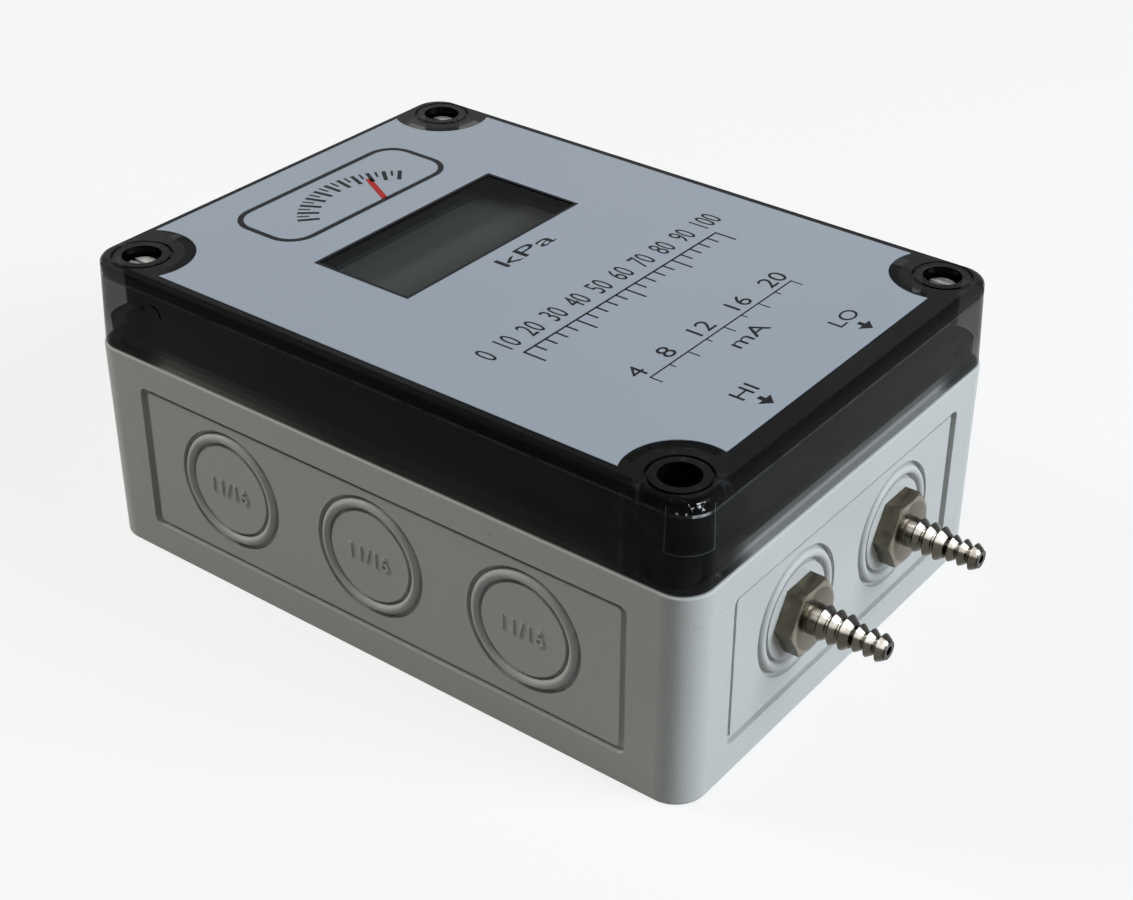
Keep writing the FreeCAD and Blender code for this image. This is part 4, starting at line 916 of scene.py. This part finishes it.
silicone = Finish("silicone")
cloudy = silicone.grain(300, 3, 0.5)
silicone.surface(
    Base_Color=silicone.mix(cloudy, (0.72, 0.71, 0.66), (0.80, 0.79, 0.75)),
    Roughness=silicone.spread(cloudy, 0.3, 0.7, 0.35, 0.5),
    Subsurface_Weight=0.3,
    Subsurface_Radius=(0.002, 0.002, 0.0015),
)


def hose(name, points, radius, material):
    """A round hose along a smooth line through its route."""
    line = bpy.data.curves.new(name, "CURVE")
    line.dimensions = "3D"
    line.bevel_depth = radius * MM
    line.bevel_resolution = 6
    line.resolution_u = 12
    line.use_fill_caps = True
    spline = line.splines.new("NURBS")
    spline.points.add(len(points) - 1)
    for point, place in zip(spline.points, points):
        point.co = (*(Vector(place) * MM), 1)
    spline.order_u = 3
    spline.use_endpoint_u = True
    piece = bpy.data.objects.new(name, line)
    scene.collection.objects.link(piece)
    coat(piece, material)
    return piece


for name, side in (("high", -1), ("low", 1)):
    route = [(56.3, PORT_SIDE), (46, PORT_SIDE), (37.2, PORT_SIDE), (27.65, 5), (19, 5), (3.5, 5)]
    points = [(x, side * y, HOLE_HEIGHT) for x, y in route]
    tube = hose(f"silicone_tube_{name}", points, 2.65, silicone.material)
    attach(tube, "base")
    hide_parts(f"tube_{name}")


def moulding(name, colour, shade, roughness=0.45, scale=3800):
    """Small moulded plastic part: fine texture and a slight change of tone."""
    finish = Finish(name)
    tone = finish.grain(160, 3, 0.6)
    finish.surface(
        Base_Color=finish.mix(finish.spread(tone, 0.3, 0.7), shade, colour),
        Roughness=finish.spread(tone, 0.3, 0.7, roughness - 0.05, roughness + 0.08),
        Normal=finish.bump(finish.grain(scale, 2, 0.6), 0.00003, 0.5),
    )
    return finish.material


coat("pressure_sensor", moulding("sensor_white", (0.80, 0.80, 0.77), (0.70, 0.70, 0.67)))

# --- Circuit boards -------------------------------------------------------------------------------
# Glass-epoxy boards with green solder mask over copper tracks, held by small pan-head screws.

board = Finish("board_green")
weave = board.grain(1900, 1, 0.3)
solder_mask = board.mix(board.grain(60, 3, 0.5), (0.010, 0.105, 0.042), (0.016, 0.135, 0.056))
board.surface(
    Base_Color=board.mix(weave * 0.25, solder_mask, (0.01, 0.07, 0.03)),
    Roughness=0.32,
    Coat_Weight=0.3,
    Normal=board.bump(weave, 0.00003, 0.3),
)
coat("main_board", board.material)
coat("display_board", board.material)
fastener = metal("fastener_steel", *STEEL, 0.28)
for name in ("board_screws", "display_screws", "spacer_nuts"):
    coat(name, fastener)
for number in range(1, 5):
    coat(f"terminal_screw_{number}", fastener)
coat("display_spacers", metal("spacer_brass", *BRASS, 0.3))
coat("terminal_block", moulding("terminal_green", (0.03, 0.30, 0.12), (0.02, 0.24, 0.09)))
trimmer_blue = moulding("trimmer_blue", (0.03, 0.11, 0.45), (0.02, 0.08, 0.36))
rotor_brass = metal("rotor_brass", *BRASS, 0.35)
for name in ("zero", "span"):
    coat(f"{name}_trimmer", trimmer_blue)
    coat(f"{name}_rotor", rotor_brass)


def add_block(bm, x0, x1, y0, y1, z0, z1, chamfer=0.0):
    """Add a block with broken edges to a mesh under construction; sizes in millimetres."""
    made = bmesh.ops.create_cube(bm, size=1)["verts"]
    for vertex in made:
        vertex.co = Vector(
            (
                (x1 if vertex.co.x > 0 else x0) * MM,
                (y1 if vertex.co.y > 0 else y0) * MM,
                (z1 if vertex.co.z > 0 else z0) * MM,
            )
        )
    if chamfer:
        edges = {edge for vertex in made for edge in vertex.link_edges}
        bmesh.ops.bevel(bm, geom=list(edges), offset=chamfer * MM, segments=1, affect="EDGES")


def blocks(name, boxes, material, chamfer=0.0):
    """Several blocks of one finish as one piece of the base."""
    bm = bmesh.new()
    for box in boxes:
        add_block(bm, *box, chamfer)
    return add_piece(name, closed_mesh(name, bm), "base", material)


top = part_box("main_board")[1][2] / MM
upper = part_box("display_board")[1][2] / MM
tin = metal("tin", (0.78, 0.78, 0.76), (0.55, 0.55, 0.53), 0.3)
epoxy = moulding("chip_epoxy", (0.020, 0.020, 0.021), (0.012, 0.012, 0.013), 0.55, 6000)
ceramic = moulding("resistor_ceramic", (0.035, 0.033, 0.032), (0.02, 0.02, 0.02), 0.4)
tan_ceramic = moulding("capacitor_ceramic", (0.42, 0.30, 0.19), (0.34, 0.24, 0.15), 0.4)
legend = moulding("legend_white", (0.78, 0.78, 0.74), (0.68, 0.68, 0.65), 0.6)

# Chips: a moulded body on two rows of bent tin legs. Each is centre x, y, half sizes, legs, level.
LEG_PITCH = 1.27
LEG_PARTS = ((0, 0.55, 0.75, 0.92), (0.45, 0.62, 0.02, 0.92), (0.45, 1.15, 0.0, 0.16))
chips = (
    (-9.0, -19.0, 4.4, 2.0, 7, top),
    (-9.0, 17.0, 2.6, 2.0, 4, top),
    (-22.5, -17.0, 2.6, 2.0, 4, top),
    (14.5, 0.0, 4.4, 1.9, 7, top),
    (-38.8, 6.0, 2.0, 4.4, 7, upper),
)
bodies, legs, dots = [], [], []
for cx, cy, half_x, half_y, count, level in chips:
    tall = 1.5 if level == top else 1.2
    under = level + 0.12
    bodies.append((cx - half_x, cx + half_x, cy - half_y, cy + half_y, under, under + tall))
    for side in (-1, 1):
        for number in range(count):
            step = (number - (count - 1) / 2) * LEG_PITCH
            for inner, outer, low, high in LEG_PARTS:
                heights = (level + low, level + high)
                if half_x > half_y:
                    edge = sorted((cy + side * (half_y + inner), cy + side * (half_y + outer)))
                    legs.append((cx + step - 0.2, cx + step + 0.2, *edge, *heights))
                else:
                    edge = sorted((cx + side * (half_x + inner), cx + side * (half_x + outer)))
                    legs.append((*edge, cy + step - 0.2, cy + step + 0.2, *heights))
    x, y, z = cx - half_x, cy - half_y, level + tall
    dots.append((x + 0.5, x + 0.9, y + 0.5, y + 0.9, z + 0.11, z + 0.14))
blocks("chip_bodies", bodies, epoxy, 0.15)
blocks("chip_legs", legs, tin)
blocks("chip_dots", dots, legend)

# Small ceramic parts in rows, each a body between two tinned ends on its pads. A row is its first
# x and y, how many, the steps in x and y, and the level.
rows = (
    (-22.5, 12.0, 4, 0, 2.6, top),
    (-9.0, -12.0, 4, 2.6, 0, top),
    (-10.0, 23.0, 5, 2.4, 0, top),
    (-13.0, 11.5, 4, 2.8, 0, top),
    (33.5, -13.0, 5, 0, 2.7, top),
    (33.5, 4.0, 3, 0, 2.7, top),
    (14.0, -4.3, 4, 2.8, 0, top),
    (-2.4, -18.0, 5, 0, 3.4, upper),
    (-2.4, 6.0, 4, 0, 3.4, upper),
    (-38.8, -15.0, 4, 0, 3.0, upper),
)
random.seed(11)
plain, tan, ends, pads = [], [], [], []
for x0, y0, count, step_x, step_y, level in rows:
    for number in range(count):
        cx, cy = x0 + number * step_x, y0 + number * step_y
        half_x, half_y = (1.0, 0.62) if step_y else (0.62, 1.0)
        tall = random.choice((0.5, 0.6, 0.9))
        body_x, body_y = half_x * 0.99, half_y * 0.99
        body = (cx - body_x, cx + body_x, cy - body_y, cy + body_y, level + 0.05, level + tall)
        (tan if tall == 0.9 else plain).append(body)
        if step_y:
            along, half, across, half_across = cx, half_x, cy, half_y
        else:
            along, half, across, half_across = cy, half_y, cx, half_x
        for side in (-1, 1):
            for made, start, reach, margin, heights in (
                (ends, 0.62, 0.03, 0.02, (level + 0.03, level + tall + 0.03)),
                (pads, 0.55, 0.45, 0.15, (level, level + 0.06)),
            ):
                span = sorted((along + side * half * start, along + side * (half + reach)))
                cross = (across - half_across - margin, across + half_across + margin)
                plan = (*span, *cross) if step_y else (*cross, *span)
                made.append((*plan, *heights))
blocks("resistor_bodies", plain, ceramic, 0.06)
blocks("ceramic_bodies", tan, tan_ceramic, 0.08)
blocks("part_ends", ends, tin, 0.05)
blocks("solder_pads", pads, tin)


def turned_upright(name, profile, place, material, slot, segments=48):
    """A solid turned about a vertical axis from (radius, height) points, closed at both ends."""
    bm = bmesh.new()
    loops = []
    for radius, height in profile:
        loop = []
        for i in range(segments):
            angle = 2 * math.pi * i / segments
            x = place[0] + radius * math.cos(angle)
            y = place[1] + radius * math.sin(angle)
            loop.append(bm.verts.new((x * MM, y * MM, (place[2] + height) * MM)))
        loops.append(loop)
    skin(bm, loops)
    bm.faces.new(loops[0])
    bm.faces.new(loops[-1])
    return add_piece(name, closed_mesh(name, bm, True, 35), "base", material)


# Two electrolytic capacitors: a crimped can in a dark sleeve with a bare aluminium top.
sleeve = Finish("capacitor_sleeve")
across = sleeve.axes()[0]
stripe = (across > -0.0393) * sleeve.spread(sleeve.grain(300), 0.2, 0.3)
sleeve.surface(
    Base_Color=sleeve.mix(stripe, (0.018, 0.026, 0.060), (0.42, 0.43, 0.45)),
    Roughness=0.33,
    Normal=sleeve.bump(sleeve.grain(900, 3, 0.6), 0.00004, 0.4),
)
can = metal("capacitor_can", (0.76, 0.77, 0.78), (0.60, 0.61, 0.62), 0.28)
crimped = [(3.6, 0.2), (3.95, 0.5), (4.0, 1.4), (3.6, 1.9), (3.6, 2.1), (4.0, 2.6)]
shoulder = [(4.0, 11.6), (3.8, 12.0), (3.2, 12.1)]
bare_top = [(3.15, 11.6), (3.15, 12.05), (2.9, 12.02), (2.6, 11.98)]
for number, y in enumerate((-17.0, 17.0), start=1):
    place = (-42.0, y, top)
    wrap = (f"capacitor_sleeve_{number}", crimped + shoulder, place, sleeve.material)
    turned_upright(*wrap, "black_plastic")
    turned_upright(f"capacitor_top_{number}", bare_top, place, can, "screw_steel")

# A quartz crystal in a drawn can, a film capacitor and a row of solder joints behind the terminals.
crystal = (-25.0, -20.4, -27.5, -23.5, top + 0.2, top + 3.4)
blocks("crystal_can", [crystal], can, 0.9)
yellow = moulding("film_yellow", (0.62, 0.42, 0.06), (0.52, 0.34, 0.05), 0.35)
film = (-14.0, -4.0, 24.8, 28.6, top + 0.1, top + 7.5)
blocks("film_capacitor", [film], yellow, 0.35)
joint = [(0.95, 0.0), (0.8, 0.15), (0.5, 0.5), (0.35, 0.95), (0.3, 1.1)]
spots = [(8.5 + 5.08 * i, -17.6) for i in range(4)] + [(-18.4, y) for y in (-6.0, -2.0, 2.0, 6.0)]
for number, (x, y) in enumerate(spots, start=1):
    turned_upright(f"solder_joint_{number}", joint, (x, y, top), tin, "screw_steel", 20)


# Copper tracks under the solder mask, slightly raised, with 45-degree bends, and the white legend.
def track(bm, points, width, level):
    """A flat strip along straight stretches."""
    for (ax, ay), (bx, by) in zip(points, points[1:]):
        way = Vector((bx - ax, by - ay)).normalized() * width / 2
        side = Vector((-way.y, way.x))
        outline = (
            (ax - way.x + side.x, ay - way.y + side.y),
            (ax - way.x - side.x, ay - way.y - side.y),
            (bx + way.x - side.x, by + way.y - side.y),
            (bx + way.x + side.x, by + way.y + side.y),
        )
        bm.faces.new([bm.verts.new((x * MM, y * MM, level * MM)) for x, y in outline])


covered = Finish("covered_copper")
copper_tone = covered.grain(240, 2, 0.5)
covered.surface(
    Base_Color=covered.mix(copper_tone, (0.030, 0.21, 0.075), (0.042, 0.25, 0.095)),
    Roughness=0.3,
    Coat_Weight=0.3,
)
bm = bmesh.new()
copper = top + 0.01
for number in range(7):
    x, y = number * 0.3, -13.0 + number * 0.9
    track(bm, [(-36, y - 4), (-33 + x, y - 4), (-29 + x, y), (-17.5, y)], 0.4, copper)
    x = number * 0.6
    track(bm, [(-47 + x, 27.5), (-47 + x, 10 + number), (-44 + x, 7 + number)], 0.4, copper)
    y = number * 0.9
    bend = [(-4, -27.5 + y), (2.5, -27.5 + y), (4.6, -25.4 + y), (4.6, -22 + number)]
    track(bm, bend, 0.35, copper)
for number in range(5):
    x = 29.8 + number * 0.8
    track(bm, [(x, -28), (x, -2 - number), (x - 3, 1 - number), (x - 3, 3.2)], 0.35, copper)
    x = number * 0.9
    track(bm, [(3.5 + x, 17.5), (3.5 + x, 24.5 - number), (1 + x, 27.5 - number)], 0.35, copper)
    x = -4.9 + number * 0.5
    track(bm, [(x, -26), (x, 26)], 0.3, upper + 0.01)
mesh = closed_mesh("board_tracks", bm)
thicken(mesh, 0.035)
add_piece("board_tracks", mesh, "base", covered.material)

bm = bmesh.new()
frames = []
for cx, cy, half_x, half_y, *_ in chips[:4]:
    frames.append((cx - half_x - 0.4, cx + half_x + 0.4, cy - half_y - 1.5, cy + half_y + 1.5))
frames += [(-46.6, -37.4, -21.6, -12.4), (-46.6, -37.4, 12.4, 21.6), (-14.6, -3.4, 24.2, 29.2)]
for x0, x1, y0, y1 in frames:
    track(bm, [(x0, y0), (x1, y0), (x1, y1), (x0, y1), (x0, y0)], 0.18, top + 0.05)
mesh = closed_mesh("board_legend", bm)
thicken(mesh, 0.02)
add_piece("board_legend", mesh, "base", legend)

# --- Display --------------------------------------------------------------------------------------
# A liquid-crystal cell in a dark grey frame, seen through the label's window and the smoked lid.

black = moulding("black_nylon", (0.022, 0.022, 0.023), (0.014, 0.014, 0.015), 0.4)
for name in ("board_connector", "display_connector"):
    coat(name, black)
coat("display_frame", moulding("bezel_grey", (0.075, 0.080, 0.080), (0.060, 0.064, 0.064), 0.45))
cell = Finish("display_cell")
tint = cell.grain(30, 2, 0.5)
cell.surface(
    Base_Color=cell.mix(tint, (0.39, 0.43, 0.40), (0.44, 0.48, 0.45)),
    Roughness=0.12,
    Specular_IOR_Level=0.1,
)
coat("display_glass", cell.material)

ribbon = Finish("ribbon_grey")
strands = ribbon.axes()[1]
ridge = ribbon.calculate("PINGPONG", strands * 1000 / 1.27, 0.5)
# Painted shade: the grooves between the wires are darker.
ribbon.surface(
    Base_Color=ribbon.ramp(ridge, (0.05, (0.25, 0.25, 0.25)), (0.3, (0.46, 0.46, 0.46))),
    Roughness=0.5,
    Normal=ribbon.bump(ridge, 0.0003, 0.8),
)

# The ribbon itself: eleven wires, six steps to a wire, with a slack bow between its connectors.
ribbon_low, ribbon_high = (Vector(corner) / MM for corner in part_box("display_ribbon"))
bm = bmesh.new()
loops = []
for step in range(33):
    part = step / 32
    bow = 1.3 * math.sin(math.pi * part) ** 2
    height = ribbon_low.z + part * (ribbon_high.z - ribbon_low.z)
    middle = (ribbon_low.x + ribbon_high.x) / 2 - bow
    front, back = [], []
    for i in range(67):
        y = -6.98 + 13.96 * i / 66
        swell = 0.16 + 0.28 * abs(math.sin(math.pi * i / 6))
        front.append((middle + swell, y, height))
        back.append((middle - swell, y, height))
    loops.append([bm.verts.new(Vector(point) * MM) for point in front + back[::-1]])
skin(bm, loops)
bm.faces.new(loops[0])
bm.faces.new(loops[-1])
mesh = closed_mesh("ribbon_cable", bm, True)
mesh.shade_smooth()
ribbon_cable = add_piece("ribbon_cable", mesh, "base", ribbon.material)
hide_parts("display_ribbon")

# --- Bounds ---------------------------------------------------------------------------------------
# The bounds of all shown pieces, the table left out, are measured.

low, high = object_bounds()
